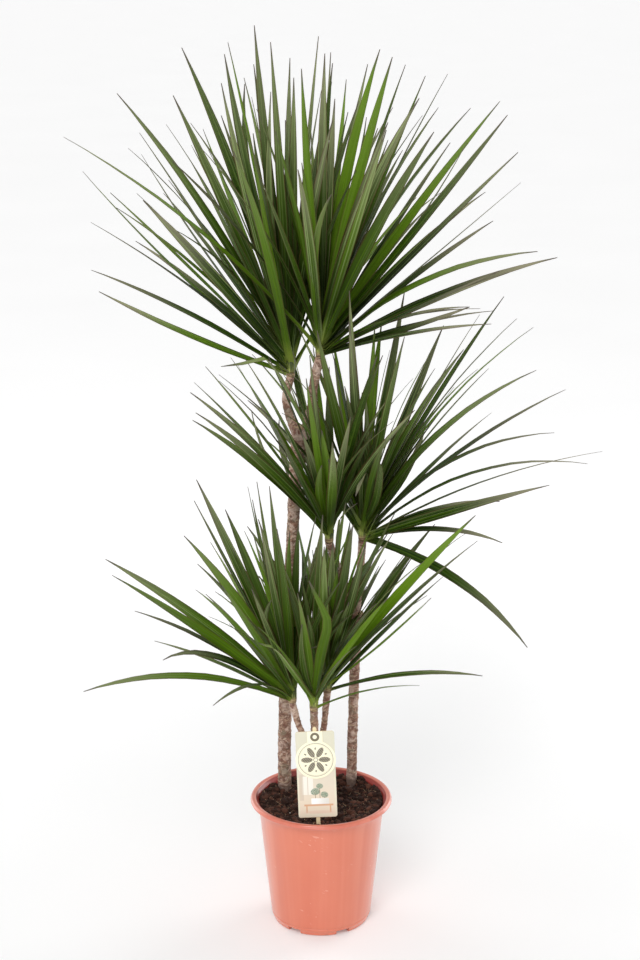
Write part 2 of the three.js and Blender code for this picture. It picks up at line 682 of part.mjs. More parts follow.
// A flat sheet from a shape drawn in X and Z, its face toward the viewer at the given depth.
function sheet(shape, thickness, depth) {
  const settings = { depth: thickness, bevelEnabled: false, curveSegments: 5 };
  const geometry = new THREE.ExtrudeGeometry(shape, settings);
  return geometry.rotateX(Math.PI / 2).translate(0, depth, 0);
}

function roundedRectangle(left, bottom, right, top, radius) {
  const shape = new THREE.Shape();
  shape.absarc(right - radius, bottom + radius, radius, -Math.PI / 2, 0);
  shape.absarc(right - radius, top - radius, radius, 0, Math.PI / 2);
  shape.absarc(left + radius, top - radius, radius, Math.PI / 2, Math.PI);
  shape.absarc(left + radius, bottom + radius, radius, Math.PI, 1.5 * Math.PI);
  return shape;
}

// The disc with the neck that joins it to the card's upper edge.
function discShape() {
  const shape = new THREE.Shape();
  const half = Math.asin(NECK_WIDTH / 2 / DISC_RADIUS);
  shape.moveTo(NECK_WIDTH / 2, CARD_HEIGHT);
  shape.lineTo(-NECK_WIDTH / 2, CARD_HEIGHT);
  shape.absarc(0, DISC_HEIGHT, DISC_RADIUS, Math.PI / 2 + half, Math.PI / 2 - half + 2 * Math.PI);
  return shape;
}

function stakeShape() {
  const half = STAKE_WIDTH / 2;
  const shape = new THREE.Shape();
  shape.moveTo(half, STAKE_BOTTOM + STAKE_POINT);
  shape.absarc(0, STAKE_TOP - half, half, 0, Math.PI);
  shape.lineTo(-half, STAKE_BOTTOM + STAKE_POINT);
  shape.lineTo(0, STAKE_BOTTOM);
  return shape;
}

function label() {
  const group = new THREE.Group();
  group.position.set(LABEL_X, LABEL_Y, CARD_BOTTOM);
  group.rotation.set(-LABEL_LEAN, -LABEL_ROLL, 0);
  group.updateMatrix();
  const cardShape = roundedRectangle(-CARD_WIDTH / 2, 0, CARD_WIDTH / 2, CARD_HEIGHT, CARD_CORNER);
  const sheets = [
    ["label_card", cardShape, CARD_THICKNESS, 0, 0xe9e2d0],
    ["label_disc", discShape(), DISC_THICKNESS, -CARD_THICKNESS - GAP, 0xf8efd0],
    ["label_stake", stakeShape(), STAKE_THICKNESS, STAKE_THICKNESS + GAP, 0xc9b48c],
  ];
  for (const [name, shape, thickness, depth, colour] of sheets) {
    addPiece(group, name, toSolid(sheet(shape, thickness, depth)), colour, 0.7);
  }
  return group;
}

// A wider copy of the stake, where it stands in the soil.
function stakeSlot(group) {
  const depth = GAP - STAKE_BOTTOM;
  const slot = new THREE.BoxGeometry(STAKE_WIDTH + 2 * GAP, STAKE_THICKNESS + 2 * GAP, 2 * depth);
  slot.translate(0, STAKE_THICKNESS / 2 + GAP, 0);
  return toSolid(slot.applyMatrix4(group.matrix));
}

// ---- The whole plant ---------------------------------------------------------------------------

function addPiece(group, name, solid, colour, roughness) {
  const material = new THREE.MeshStandardMaterial({ color: colour, roughness, metalness: 0 });
  const mesh = new THREE.Mesh(toGeometry(solid), material);
  mesh.name = name;
  group.add(mesh);
}

const plant = new THREE.Group();
const labelGroup = label();
plant.add(labelGroup);

const potSolid = pot();
addPiece(plant, "pot", potSolid, 0xe8846c, 0.45);

const holes = Object.values(CANES).map(({ stem: rows }) => {
  const [x, y, z, radius] = rows[0];
  return stem([[x, y, z - GAP, radius], ...rows.slice(1)], GAP);
});
const soilSolid = soil([...holes, stakeSlot(labelGroup)]);
addPiece(plant, "soil", soilSolid, 0x2e2119, 1);

const obstacles = [withBox(potSolid), withBox(soilSolid)];
for (const mesh of labelGroup.children) {
  obstacles.push(withBox(toSolid(mesh.geometry.clone().applyMatrix4(labelGroup.matrix))));
}
for (const [name, shape] of Object.entries(CANES)) {
  const solid = cane(shape);
  addPiece(plant, name, solid, shape.colour, 0.85);
  obstacles.push(withBox(solid));
}
for (const { name, solid, colour } of growHeads(obstacles)) {
  addPiece(plant, name, solid, colour, 0.5);
}

export default plant;
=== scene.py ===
"""Looks of a potted dragon tree: fine blades, scarred bark, plastic pot, peat and plant label.

Metres, +Z up, the viewer at -Y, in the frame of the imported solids.
"""

import itertools
import math
import random

import bmesh
import bpy
from bpy.props import FloatProperty, FloatVectorProperty, IntProperty, PointerProperty
from mathutils import Matrix, Vector


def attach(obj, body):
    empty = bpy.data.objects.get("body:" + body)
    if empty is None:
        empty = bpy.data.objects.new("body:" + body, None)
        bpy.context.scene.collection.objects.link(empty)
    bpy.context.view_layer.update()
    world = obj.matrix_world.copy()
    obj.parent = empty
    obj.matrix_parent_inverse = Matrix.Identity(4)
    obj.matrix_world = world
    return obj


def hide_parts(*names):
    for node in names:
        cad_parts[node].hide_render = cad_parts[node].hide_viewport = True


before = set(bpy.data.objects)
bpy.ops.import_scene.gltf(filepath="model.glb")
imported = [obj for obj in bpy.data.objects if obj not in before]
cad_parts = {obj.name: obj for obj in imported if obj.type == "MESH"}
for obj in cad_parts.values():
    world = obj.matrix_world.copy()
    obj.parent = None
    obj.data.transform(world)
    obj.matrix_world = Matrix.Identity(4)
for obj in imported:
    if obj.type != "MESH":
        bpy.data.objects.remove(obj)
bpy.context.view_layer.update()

bl_info = {
    "name": "Potted dragon tree",
    "version": (1, 0, 0),
    "blender": (4, 5, 0),
    "location": "3D View > Sidebar > Dragon tree",
    "description": "Builds a potted dragon tree with its pot, soil, canes, leaves and label",
    "category": "Add Mesh",
}

MM = 0.001
TURN = 2 * math.pi
SEAT_GAP = 0.0003                      # room between touching pieces
ROD_SIDES = 24
BODY = "root"

# ---- Measures shared by the pieces ----

# Pot
POT_HEIGHT = 0.222
RIM_RADIUS = 0.120
RIM_INNER_RADIUS = 0.110
RIM_DEPTH = 0.008
RIM_HEIGHT = POT_HEIGHT - RIM_DEPTH      # underside of the rim
SHOULDER_RADIUS = 0.107
HEEL_RADIUS = 0.085
HEEL_HEIGHT = 0.008
WALL = 0.002
FLOOR_HEIGHT = 0.013
FOOT_RADIUS = 0.082
FOOT_INNER_RADIUS = 0.066
FOOT_COUNT = 6
FOOT_GAP = 0.024
FOOT_GAP_HEIGHT = 0.009
FOOT_TURN = math.radians(-3.5)
GROOVE_HEIGHT = 0.0142                 # fine line moulded round the wall
GROOVE_DEPTH = 0.0009
WALL_HEIGHTS = (0.07, 0.14)            # where the wall's profile has a row
POT_SIDES = 144
PAD_RADIUS = 0.016
DRAIN_COUNT = 8
DRAIN_RADIUS = 0.005
DRAIN_CIRCLE = 0.046
DUST_HEIGHT = 0.03
RUB_TURN, RUB_HALF_TURN = -1.66, 0.28  # where the front of the wall is rubbed, in radians
RUB_HEIGHT, RUB_HALF_HEIGHT = 0.183, 0.017

# Soil
SOIL_HEIGHT = 0.206
SOIL_EDGE_RISE = 0.003                 # how far the soil climbs the wall, and how much more at the sides
SOIL_SIDE_RISE = 0.006
SOIL_WAVE = 0.0022                     # height of the waves in the solid model's soil
SOIL_EDGE_GAP = 0.0008                 # room between the soil and the wall at the top, and below
SOIL_WALL_GAP = 0.0009
BIT_GAP = 0.0004                       # room between the strewn bits and the wall
SOIL_SIDES = 180
SOIL_RINGS = 46
LUMP_COUNT = 170                       # lumps and dips in the soil
LUMP_SEED = 7
SOILED_RISE = 0.034                    # how far up the canes are soiled

# Label, in its own leaning plane
LABEL_PLACE = Vector((-0.005, -0.090, 0.225))
LABEL_LEAN = math.radians(3.5)
LABEL_ROLL = math.radians(2.3)
CARD_WIDTH = 0.064
CARD_HEIGHT = 0.150
CARD_CORNER = 0.004
CARD_THICKNESS = 0.0008
DISC_RADIUS = 0.033
DISC_HEIGHT = 0.101
NECK_WIDTH = 0.025
STAKE_WIDTH = 0.0065
STAKE_TOP = 0.157
STAKE_BOTTOM = -0.095
STAKE_POINT = 0.01                     # length of its pointed end
STAKE_THICKNESS = 0.0016
CORNER_ANGLE = math.radians(60)        # edges over this are bevelled
OFF_THE_MAP = 4                        # widths of the card by which its back lies off the print

# Stage
FLOOR_RADIUS = 90.0
FLOOR_SIDES = 64
CAMERA_PLACE = (-0.002, -3.0, 1.645)
CAMERA_TILT = 16.1                     # degrees below the horizon
CAMERA_LENS = 72.34                    # millimetres

# Canes: points up the middle and the radius there, in millimetres.
CANES = {
    "cane_tall": [
        [(-60, 49, 112, 11.5), (-63, 51, 206, 11.5), (-62, 51, 330, 10.8), (-58, 51, 470, 10.2),
         (-46, 51, 700, 10.2), (-40, 51, 800, 11.8), (-34, 50, 856, 12.6)],
        [(-38, 51, 838, 8.5), (-52, 56, 872, 7), (-57, 62, 902, 6.5), (-50, 65, 935, 6.8)],
        [(-28, 48, 838, 9), (-16, 42, 890, 7.5), (-12, 35, 930, 7.3), (-2, 30, 975, 7.6)],
    ],
    "cane_medium": [
        [(44, 62, 112, 8.8), (52, 73, 206, 8.8), (54, 78, 300, 8.6), (57, 78, 420, 8.6),
         (61, 76, 500, 9), (62, 75, 525, 9.4)],
        [(60, 75, 512, 6.5), (62, 73, 560, 6.4), (66, 71, 605, 6.4), (69, 70, 654, 6.8)],
        [(57, 74, 508, 6.8), (42, 58, 560, 6.2), (26, 36, 620, 6.2), (13, 20, 666, 6.8)],
    ],
    "cane_short": [
        [(-10, -22, 112, 10.2), (-10, -22, 206, 10.2), (-10, -24, 260, 10), (-10, -25, 316, 10.6)],
        [(-12, -24, 302, 6.5), (-27, -23, 335, 5.4), (-38, -22, 362, 5.2), (-48, -20, 400, 6.4)],
        [(-9, -27, 302, 7), (-10, -36, 335, 6.2), (-11, -42, 362, 6.2), (-12, -45, 396, 6.8)],
        [(-7, -22, 302, 6.5), (2, -14, 335, 5.2), (6, -3, 365, 5), (10, 5, 407, 6.4)],
    ],
}

GOLDEN_ANGLE = 2.399963                # radians between one row of leaf scars and the next
BARK_LUMP = 0.0034                     # height of the bark's lumps, and of its finer grain
BARK_GRAIN = 0.0006

# Middle of the base of each head of leaves, in millimetres.
HEADS = {
    "leaves_top_left": (-50, 65, 935),
    "leaves_top_right": (-2, 30, 975),
    "leaves_middle_right": (69, 70, 654),
    "leaves_middle_left": (13, 20, 666),
    "leaves_low_left": (-48, -20, 400),
    "leaves_low_middle": (-12, -45, 396),
    "leaves_low_right": (10, 5, 407),
}

# Places along a blade, from its root, where the solid model has a section.
STATIONS = (0.15, 0.40, 0.66, 0.87)
TIP_PLACE = 0.985                      # where a fine blade's line reaches the tip
LEAST_HALF_WIDTH = 0.0007
ROOT_WIDTH = 0.85                      # half width at the root, as a share of the blade's widest
NEIGHBOURS = 5                         # a young blade grows between one blade and one of its nearest
YOUNG_WIDTH = 0.42                     # its half width, as a share of the sum of theirs
LARGEST_BOW = 0.032
SEED = 20417
EDGE_PLACE = math.cos(math.radians(30))    # how far across a six-sided tube its two edges lie
# Radius and height up the short stem inside a head, in millimetres.
CORE_PROFILE = ((0, 0), (6.6, 0), (7.2, 3), (7.5, 10), (7, 33.6), (4.8, 58.8), (2, 77.28), (0, 84))
FOLD_ANGLE = 16                        # degrees: a fold sharper than this is seen as a line
LIT_HEIGHTS = (0.8, 0.5)               # between these heights the leaves' painted light changes: lower blades are painted lighter


def srgb(red, green, blue):
    """A colour in 0 to 255 as the linear colour that shaders work in."""
    return tuple((c / 255 / 12.92) if c <= 10 else ((c / 255 + 0.055) / 1.055) ** 2.4
                 for c in (red, green, blue))


def wall_radius(height):
    """Outer radius of the pot's wall at a height, which may be a term of a node tree."""
    rise = (height - HEEL_HEIGHT) / (RIM_HEIGHT - HEEL_HEIGHT)
    return HEEL_RADIUS + (SHOULDER_RADIUS - HEEL_RADIUS) * rise


# ---- Settings ----

def colour(name, description, *levels):
    """A colour setting, given in levels of 0 to 255."""
    return FloatVectorProperty(name=name, description=description, default=srgb(*levels), size=3,
                               subtype="COLOR")


def number(name, description, default, low, high, **more):
    """A number setting with its limits."""
    return FloatProperty(name=name, description=description, default=default, min=low, max=high, **more)


def length(name, description, default, low, high):
    """A length setting in metres."""
    return number(name, description, default, low, high, unit="LENGTH")


# ---- Node trees written as expressions ----

def operation(name):
    """A method that adds the Math node of that name."""
    return lambda self, *others: self.maker.add("ShaderNodeMath", self, *others, operation=name)


class Term:
    """An output of a node in a tree. Arithmetic on it adds the Math nodes that work it out, and
    square brackets give another output of the same node."""

    def __init__(self, maker, socket):
        self.maker = maker
        self.socket = socket

    def __getitem__(self, key):
        return Term(self.maker, self.socket.node.outputs[key])

    def __rsub__(self, other):
        return self.maker.add("ShaderNodeMath", other, self, operation="SUBTRACT")

    __add__ = __radd__ = operation("ADD")
    __sub__ = operation("SUBTRACT")
    __mul__ = __rmul__ = operation("MULTIPLY")
    __truediv__ = operation("DIVIDE")
    __abs__ = operation("ABSOLUTE")
    sine = operation("SINE")
    cosine = operation("COSINE")
    root = operation("SQRT")
    floored = operation("FLOOR")
    lower_of = operation("MINIMUM")
    higher_of = operation("MAXIMUM")

    def clamped(self):
        return self.maker.add("ShaderNodeMath", self, 0.0, operation="ADD", use_clamp=True)

    def step(self, start, end):
        """0 up to start and 1 from end on, smooth between them. Start may lie above end."""
        if start > end:
            return 1 - self.step(end, start)
        return self.maker.add("ShaderNodeMapRange", self, start, end, interpolation_type="SMOOTHSTEP")


class Maker:
    """Adds nodes to a tree and links them."""

    def __init__(self, tree):
        self.tree = tree

    def add(self, kind, *values, at=None, **named):
        """A node, as its first output. Names with a small first letter are settings of the node.
        Values in order, at numbers or by other names (with _ for a space) feed its sockets."""
        node = self.tree.nodes.new(kind)
        feeds = {**dict(enumerate(values)), **(at or {})}
        for name, value in named.items():
            if name[0].islower():
                setattr(node, name, value)
            else:
                feeds[name.replace("_", " ")] = value
        for key, value in feeds.items():
            socket = node.inputs[key]
            if isinstance(value, Term):
                self.tree.links.new(value.socket, socket)
            else:
                socket.default_value = (*value, 1.0) if socket.type == "RGBA" else value
        return Term(self, node.outputs[0]) if node.outputs else None

    def vector(self, x, y, z):
        return self.add("ShaderNodeCombineXYZ", x, y, z)

    def split(self, vector):
        parts = self.add("ShaderNodeSeparateXYZ", vector)
        return parts[0], parts[1], parts[2]

    def noise(self, vector, scale, detail=3.0, roughness=0.5, distortion=0.0):
        """Noise of one scale, or of a scale in each direction."""
        if isinstance(scale, tuple):
            vector = self.add("ShaderNodeMapping", vector, Scale=scale)
            scale = 1.0
        return self.add("ShaderNodeTexNoise", vector, Scale=scale, Detail=detail, Roughness=roughness,
                        Distortion=distortion)


class Finish(Maker):
    """A material under construction, with the colour that has been laid so far."""

    def __init__(self, name):
        self.material = bpy.data.materials.new(name)
        self.material.use_nodes = True
        super().__init__(self.material.node_tree)
        self.tree.nodes.clear()
        self.colour = None

    def attribute(self, name):
        return self.add("ShaderNodeAttribute", attribute_name=name)["Fac"]

    def attributes(self, *names):
        return [self.attribute(name) for name in names]

    def place(self):
        return self.add("ShaderNodeTexCoord")["Object"]

    def mix(self, share, first, second):
        """A colour between two colours."""
        return self.add("ShaderNodeMix", share, at={6: first, 7: second}, data_type="RGBA")[2]

    def lay(self, share, colour):
        """Covers a share of the colour so far with another colour."""
        self.colour = self.mix(share, self.colour, colour)

    def finish(self, roughness, bump=None, **sockets):
        """Ends the material. A bump is a height, the distance that 1 of it stands for and a strength."""
        if bump:
            height, distance, strength = bump
            sockets["Normal"] = self.add("ShaderNodeBump", strength, distance, Height=height)
        shader = self.add("ShaderNodeBsdfPrincipled", self.colour, Roughness=roughness, **sockets)
        self.add("ShaderNodeOutputMaterial", shader)
        return self.material


class Shape(Maker):
    """A Geometry Nodes tree under construction. Each of its inputs has a default or, where it has
    none, the kind of its socket. Square brackets give an input."""

    def __init__(self, name, **inputs):
        super().__init__(bpy.data.node_groups.new(name, "GeometryNodeTree"))
        new_socket = self.tree.interface.new_socket
        self.keys = {}
        for label, default in inputs.items():
            kind = default if isinstance(default, str) else type(default).__name__.title()
            item = new_socket(label, in_out="INPUT", socket_type="NodeSocket" + kind)
            if kind != default:
                item.default_value = default
            self.keys[label] = item.identifier
        new_socket("Geometry", in_out="OUTPUT", socket_type="NodeSocketGeometry")
        self.entry = self.add("NodeGroupInput")

    def __getitem__(self, label):
        return self.entry[label]

    def store(self, geometry, name, value, kind="FLOAT"):
        return self.add("GeometryNodeStoreNamedAttribute", geometry, Name=name, Value=value, data_type=kind)

    def named(self, name, kind="FLOAT"):
        return self.add("GeometryNodeInputNamedAttribute", name, data_type=kind)

    def chance(self, low, high, **more):
        """A random number between two numbers, or a vector between two vectors."""
        kind, first, output = ("FLOAT_VECTOR", 0, 0) if isinstance(low, tuple) else ("FLOAT", 2, 1)
        return self.add("FunctionNodeRandomValue", at={first: low, first + 1: high}, data_type=kind,
                        **more)[output]

    def vectors(self, way, *vectors, **more):
        return self.add("ShaderNodeVectorMath", *vectors, operation=way, **more)

    def scaled(self, vector, factor):
        return self.vectors("SCALE", vector, Scale=factor)

    def curves(self, resolution):
        """The Lines input as smooth curves."""
        lines = self.add("GeometryNodeMeshToCurve", self["Lines"])
        lines = self.add("GeometryNodeCurveSplineType", lines, spline_type="CATMULL_ROM")
        return self.add("GeometryNodeSetSplineResolution", lines, Resolution=resolution)

    def close(self, geometry):
        """Ends the tree: everything made real, smooth and given its material."""
        geometry = self.add("GeometryNodeRealizeInstances", geometry)
        geometry = self.add("GeometryNodeSetShadeSmooth", geometry)
        geometry = self.add("GeometryNodeSetMaterial", geometry, Material=self["Material"])
        self.add("NodeGroupOutput", geometry)

    def grow(self, source, name, **values):
        """The plain mesh that the tree makes from an object, as a new object."""
        modifier = source.modifiers.new("shape", "NODES")
        modifier.node_group = self.tree
        for label, value in values.items():
            modifier[self.keys[label]] = value
        return as_made(source, name)


# ---- Meshes ----

def as_object(name, mesh):
    mesh.name = name
    piece = bpy.data.objects.new(name, mesh)
    bpy.context.scene.collection.objects.link(piece)
    return piece


def as_made(source, name):
    """A new object with the mesh that an object's modifiers make. The old object goes."""
    depsgraph = bpy.context.evaluated_depsgraph_get()
    mesh = bpy.data.meshes.new_from_object(source.evaluated_get(depsgraph))
    bpy.data.objects.remove(source)
    return as_object(name, mesh)


def mesh_object(name, points, faces=(), edges=()):
    mesh = bpy.data.meshes.new(name)
    mesh.from_pydata([tuple(p) for p in points], list(edges), list(faces))
    mesh.update()
    return as_object(name, mesh)


def lines_object(name, lines, **facts):
    """Open lines of points, with numbers or vectors that are stored on their points."""
    points = [point for line in lines for point in line]
    edges = []
    start = 0
    for line in lines:
        edges += [(start + i, start + i + 1) for i in range(len(line) - 1)]
        start += len(line)
    piece = mesh_object(name, points, edges=edges)
    for label, values in facts.items():
        if isinstance(values[0], Vector):
            attribute = piece.data.attributes.new(label, "FLOAT_VECTOR", "POINT")
            attribute.data.foreach_set("vector", [c for value in values for c in value])
        else:
            attribute = piece.data.attributes.new(label, "FLOAT", "POINT")
            attribute.data.foreach_set("value", values)
    return piece


def smooth(piece, material, sharp=None):
    """Shades a piece smooth, but for edges over an angle, and gives it its material."""
    piece.data.shade_smooth()
    piece.data.materials.clear()
    piece.data.materials.append(material)
    if sharp:
        piece.data.set_sharp_from_angle(angle=math.radians(sharp))
    return piece


def settle(piece, node):
    """Ties a finished piece to the plant's body and hides the solid that it stands for."""
    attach(piece, BODY)
    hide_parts(node)


def ring_points(radius, height, sides):
    """Points evenly round a level circle."""
    return [(radius * math.cos(TURN * i / sides), radius * math.sin(TURN * i / sides), height)
            for i in range(sides)]


def turned(name, profile, sides):
    """A closed solid of revolution about +Z from (radius, height) pairs that start and end on it."""
    inner = profile[1:-1]
    points = [(0.0, 0.0, profile[0][1])]
    for radius, height in inner:
        points += ring_points(radius, height, sides)
    points.append((0.0, 0.0, profile[-1][1]))
    last = 1 + (len(inner) - 1) * sides
    faces = [(0, 1 + i, 1 + (i + 1) % sides) for i in range(sides)]
    for low in range(1, last, sides):
        for i in range(sides):
            after = (i + 1) % sides
            faces.append((low + i, low + sides + i, low + sides + after, low + after))
    faces += [(last + i, len(points) - 1, last + (i + 1) % sides) for i in range(sides)]
    return face_out(mesh_object(name, points, faces))


def face_out(piece):
    mesh = bmesh.new()
    mesh.from_mesh(piece.data)
    bmesh.ops.remove_doubles(mesh, verts=mesh.verts, dist=1e-7)
    bmesh.ops.recalc_face_normals(mesh, faces=mesh.faces)
    mesh.to_mesh(piece.data)
    mesh.free()
    return piece


def carved(piece, cutters):
    """The piece with the cutters taken out of it."""
    for cutter in cutters:
        modifier = piece.modifiers.new("cut", "BOOLEAN")
        modifier.operation = "DIFFERENCE"
        modifier.solver = "EXACT"
        modifier.object = cutter
    piece = as_made(piece, piece.name)
    for cutter in cutters:
        bpy.data.objects.remove(cutter)
    return piece


def block(name, low, high, turn):
    """A box between two corners, turned about +Z through the origin."""
    corners = [Vector(corner) for corner in itertools.product(*zip(low, high))]
    spin = Matrix.Rotation(turn, 3, "Z")
    faces = [(0, 1, 3, 2), (4, 6, 7, 5), (0, 4, 5, 1), (2, 3, 7, 6), (0, 2, 6, 4), (1, 5, 7, 3)]
    return face_out(mesh_object(name, [spin @ corner for corner in corners], faces))


def rod(name, radius, low, high, x, y):
    """A round cutter that stands at a place."""
    piece = turned(name, [(0, low), (radius, low), (radius, high), (0, high)], ROD_SIDES)
    piece.data.transform(Matrix.Translation((x, y, 0)))
    return piece


def rounded(profile, steps=3):
    """A profile with its corners cut smooth, by cutting each corner off a few times."""
    for _ in range(steps):
        finer = [profile[0]]
        for (r0, z0), (r1, z1) in zip(profile, profile[1:]):
            finer.append((r0 * 0.75 + r1 * 0.25, z0 * 0.75 + z1 * 0.25))
            finer.append((r0 * 0.25 + r1 * 0.75, z0 * 0.25 + z1 * 0.75))
        finer.append(profile[-1])
        profile = finer
    return profile


# ---- Materials ----

def leaf_finish(look):
    f = Finish("leaf_blade")
    along, across, upper, leaf, age = f.attributes("along", "across", "upper", "leaf", "age")
    own, other = [f.add("ShaderNodeTexWhiteNoise", W=key, noise_dimensions="1D")
                  for key in (leaf, leaf + 0.5)]
    veins = f.noise(f.vector(across * 14.0, along * 1.1, leaf * 3.1), 1.0, 2.0)
    patches = f.noise(f.vector(across * 2.0, along * 4.0, leaf * 7.3), 1.0)
    _, _, height = f.split(f.place())
    low = height.step(*LIT_HEIGHTS)
    light = own * own * own * 1.15 + veins * 0.3 + patches * 0.45 - 0.3 - age * 0.1
    # Painted light: blades low on the plant are painted lighter.
    light = light + low * (0.04 + own * 0.12)
    f.colour = f.mix(light.clamped(), look.dark_green, look.light_green)
    under = upper.step(-0.05, -0.35)
    f.lay(under * (0.2 + other * 0.5), look.underside)
    # Grey-brown on old blades and outer halves: partly their wear, partly a painted grey sheen; less on low
    # blades.
    worn = along.step(0.42, 0.95) * (0.08 + age * 0.95 + other * other * 0.5)
    worn = worn + patches.step(0.6, 0.75) * age * 0.15
    f.lay(worn.clamped() * (0.9 - low * 0.5), look.worn)
    # Painted sheen: long pale streaks along some blades stand in for the reflections of the soft lights.
    streak = f.noise(f.vector(across * 4.0, along * 0.5, leaf * 5.7), 1.0).step(0.48, 0.66)
    f.lay(streak * (0.06 + other * other * 0.75), look.streak)
    f.lay(abs(across).step(0.16, 0.03) * 0.3 * along.step(0.7, 0.3), look.light_green)
    f.lay((1 - along / (0.03 + own * 0.1)).clamped() * (0.35 + own * 0.45), look.base)
    f.lay(abs(across).step(0.8, 0.93) * (0.42 + other * 0.42) * along.step(0.03, 0.15), look.margin)
    # Painted shade: the inner halves of the blades, near the heads, are darkened for the shade inside the
    # crown, less on low and spreading blades.
    inner = along.step(0.7, 0.12) * (0.3 + other * 0.6) * (0.4 + along.step(0.02, 0.18) * 0.6)
    f.lay(inner * (1 - low * 0.45) * (1 - age * 0.6), look.shaded_green)
    f.lay(along.step(0.88, 0.985) * 0.9, look.tip)
    roughness = 0.34 + patches * 0.16 + under * 0.12 + worn * 0.1
    return f.finish(roughness, (veins, 0.0006, 0.4), Specular_IOR_Level=0.06)


def core_finish(look):
    f = Finish("leaf_core")
    place = f.place()
    rings = f.noise(place, (50, 50, 380))
    rise = f.attribute("along")
    x, y, _ = f.split(place)
    sheaths = f.noise(f.vector(x * 420.0, y * 420.0, rise * 2.0), 1.0, 2.0).step(0.4, 0.6)
    f.colour = f.mix(rings.step(0.4, 0.6), srgb(98, 74, 52), srgb(170, 146, 108))
    f.lay(rise.step(0.06, 0.16), f.mix(sheaths, srgb(62, 72, 26), look.base))
    f.lay(rise.step(0.16, 0.4), look.dark_green)
    return f.finish(0.6, (rings, 0.0015, 0.8))


def bark_finish(look):
    f = Finish("cane_bark")
    place = f.place()
    _, _, z = f.split(place)
    grain = f.noise(place, (70, 70, 130), 5.0, 0.7, 0.6)
    patches = f.noise(place, 30.0, 4.0, 0.62, 0.8)
    blotches = f.noise(place, 95.0, 3.0, 0.6, 1.2)
    speckle = f.noise(place, 420.0, 2.0, 0.6)
    f.colour = f.mix(grain.step(0.4, 0.62), look.bark_dark, look.bark)
    f.lay(blotches.step(0.53, 0.62) * 0.65, look.bark_pale)
    f.lay(blotches.step(0.46, 0.37) * 0.7, look.bark_red)
    f.lay(patches.step(0.52, 0.62) * 0.6, look.bark_pale)
    f.lay(patches.step(0.45, 0.35) * 0.55, look.bark_green)
    f.lay(f.attribute("crack") * 0.6, look.crack)
    f.lay(f.attribute("scar") * 0.45, look.scar)
    f.lay(speckle.step(0.6, 0.75) * 0.3, look.crack)
    f.lay(f.attribute("cut"), srgb(176, 150, 118))
    foot = z.step(SOIL_HEIGHT + SOILED_RISE, SOIL_HEIGHT)
    f.lay((foot * 0.8 + grain * 1.3 + patches * 0.8).step(1.25, 1.75) * 0.75, srgb(58, 38, 31))
    height = grain * 0.6 + speckle * 0.4
    return f.finish(0.78 + grain * 0.12, (height, 0.0012, 0.7), Specular_IOR_Level=0.3)


def pot_finish(look):
    f = Finish("pot_plastic")
    place = f.place()
    x, y, z = f.split(place)
    around = f.add("ShaderNodeMath", y, x, operation="ARCTAN2")
    radius = (x * x + y * y).root()
    clouds = f.noise(place, 11.0, 3.0, 0.55)
    flow = f.noise(f.vector(around * 7.0, z * 3.0, 0.0), 1.0)
    grain = f.noise(place, 900.0, 1.0)
    fine = f.noise(f.vector(around * 7.0, z * 190.0 + around * 6.0, 1.0), 1.0, 3.0, 0.6)
    patch = f.noise(f.vector(around * 1.6, z * 13.0, 4.0), 1.0, 2.0).step(0.56, 0.66)
    side, rise = (around - RUB_TURN) / RUB_HALF_TURN, (z - RUB_HEIGHT) / RUB_HALF_HEIGHT
    rubbed = (side * side + rise * rise).step(1.2, 0.3)
    scuffs = (fine.step(0.62, 0.7) * patch + fine.step(0.58, 0.66) * rubbed).clamped()
    # Painted shade: the inside wall and the inner edge of the rim get a darker red for the shade inside the
    # pot.
    inside = (wall_radius(z) - radius).step(0.0004, 0.0012) * z.step(FLOOR_HEIGHT, FLOOR_HEIGHT + WALL)
    painted_shade_lip = radius.step(RIM_INNER_RADIUS + 0.0012, RIM_INNER_RADIUS - 0.0004)
    rim = z.step(RIM_HEIGHT - 0.001, RIM_HEIGHT + 0.0005)
    inside = (inside * (1 - rim) + painted_shade_lip * rim).clamped()
    # Painted reflection: broad, lighter vertical bands on the wall stand in for the soft lights mirrored in
    # the glossy plastic.
    streaks = f.noise(f.vector(around * 4.0, z * 1.2, 7.0), 1.0, 2.0).step(0.42, 0.75)
    dust = f.noise(place, 46.0, 4.0, 0.7).step(0.6, 0.8) * z.step(DUST_HEIGHT, 0.0)
    f.colour = f.mix((clouds * 0.6 + flow * 0.5 - 0.05).clamped(), look.body, look.body_light)
    f.lay(rim * 0.7, look.rim)
    # Lays the painted shade inside the pot
    f.lay(inside, look.inside)
    f.lay(scuffs * 0.35 * (1 - inside), srgb(247, 205, 188))
    # Lays the painted reflection bands, not on the inside
    f.lay(streaks * (1 - inside) * 0.3, srgb(236, 150, 124))
    f.lay(dust * 0.5, srgb(120, 84, 68))
    roughness = 0.27 + clouds * 0.08 + scuffs * 0.25 + inside * 0.3
    return f.finish(roughness, (flow * 0.5 + grain * 0.04 + scuffs * 0.05, 0.0012, 0.25),
                    Specular_IOR_Level=0.6, Coat_Weight=0.7, Coat_Roughness=0.2)


def soil_finish(look):
    f = Finish("peat")
    place, own = f.place(), f.attribute("own")
    clods = f.noise(place, 130.0, 4.0, 0.7)
    fine = f.noise(place, 700.0, 3.0, 0.7)
    f.colour = f.mix((clods * 0.6 + own * own * 0.65 - 0.2).clamped(), look.peat_dark, look.peat_light)
    f.lay(fine.step(0.64, 0.74) * 0.22, srgb(120, 86, 66))
    return f.finish(0.92, (clods * 0.7 + fine * 0.3, 0.003, 0.9), Specular_IOR_Level=0.25)


def fibre_finish(look):
    f = Finish("peat_fibre")
    bits = f.noise(f.place(), 500.0, 2.0)
    share = f.attribute("own") * 0.8 + bits * 0.4 - 0.1
    f.colour = f.mix(share.clamped(), look.fibre_dark, look.fibre)
    return f.finish(0.8, (bits, 0.0004, 0.5))


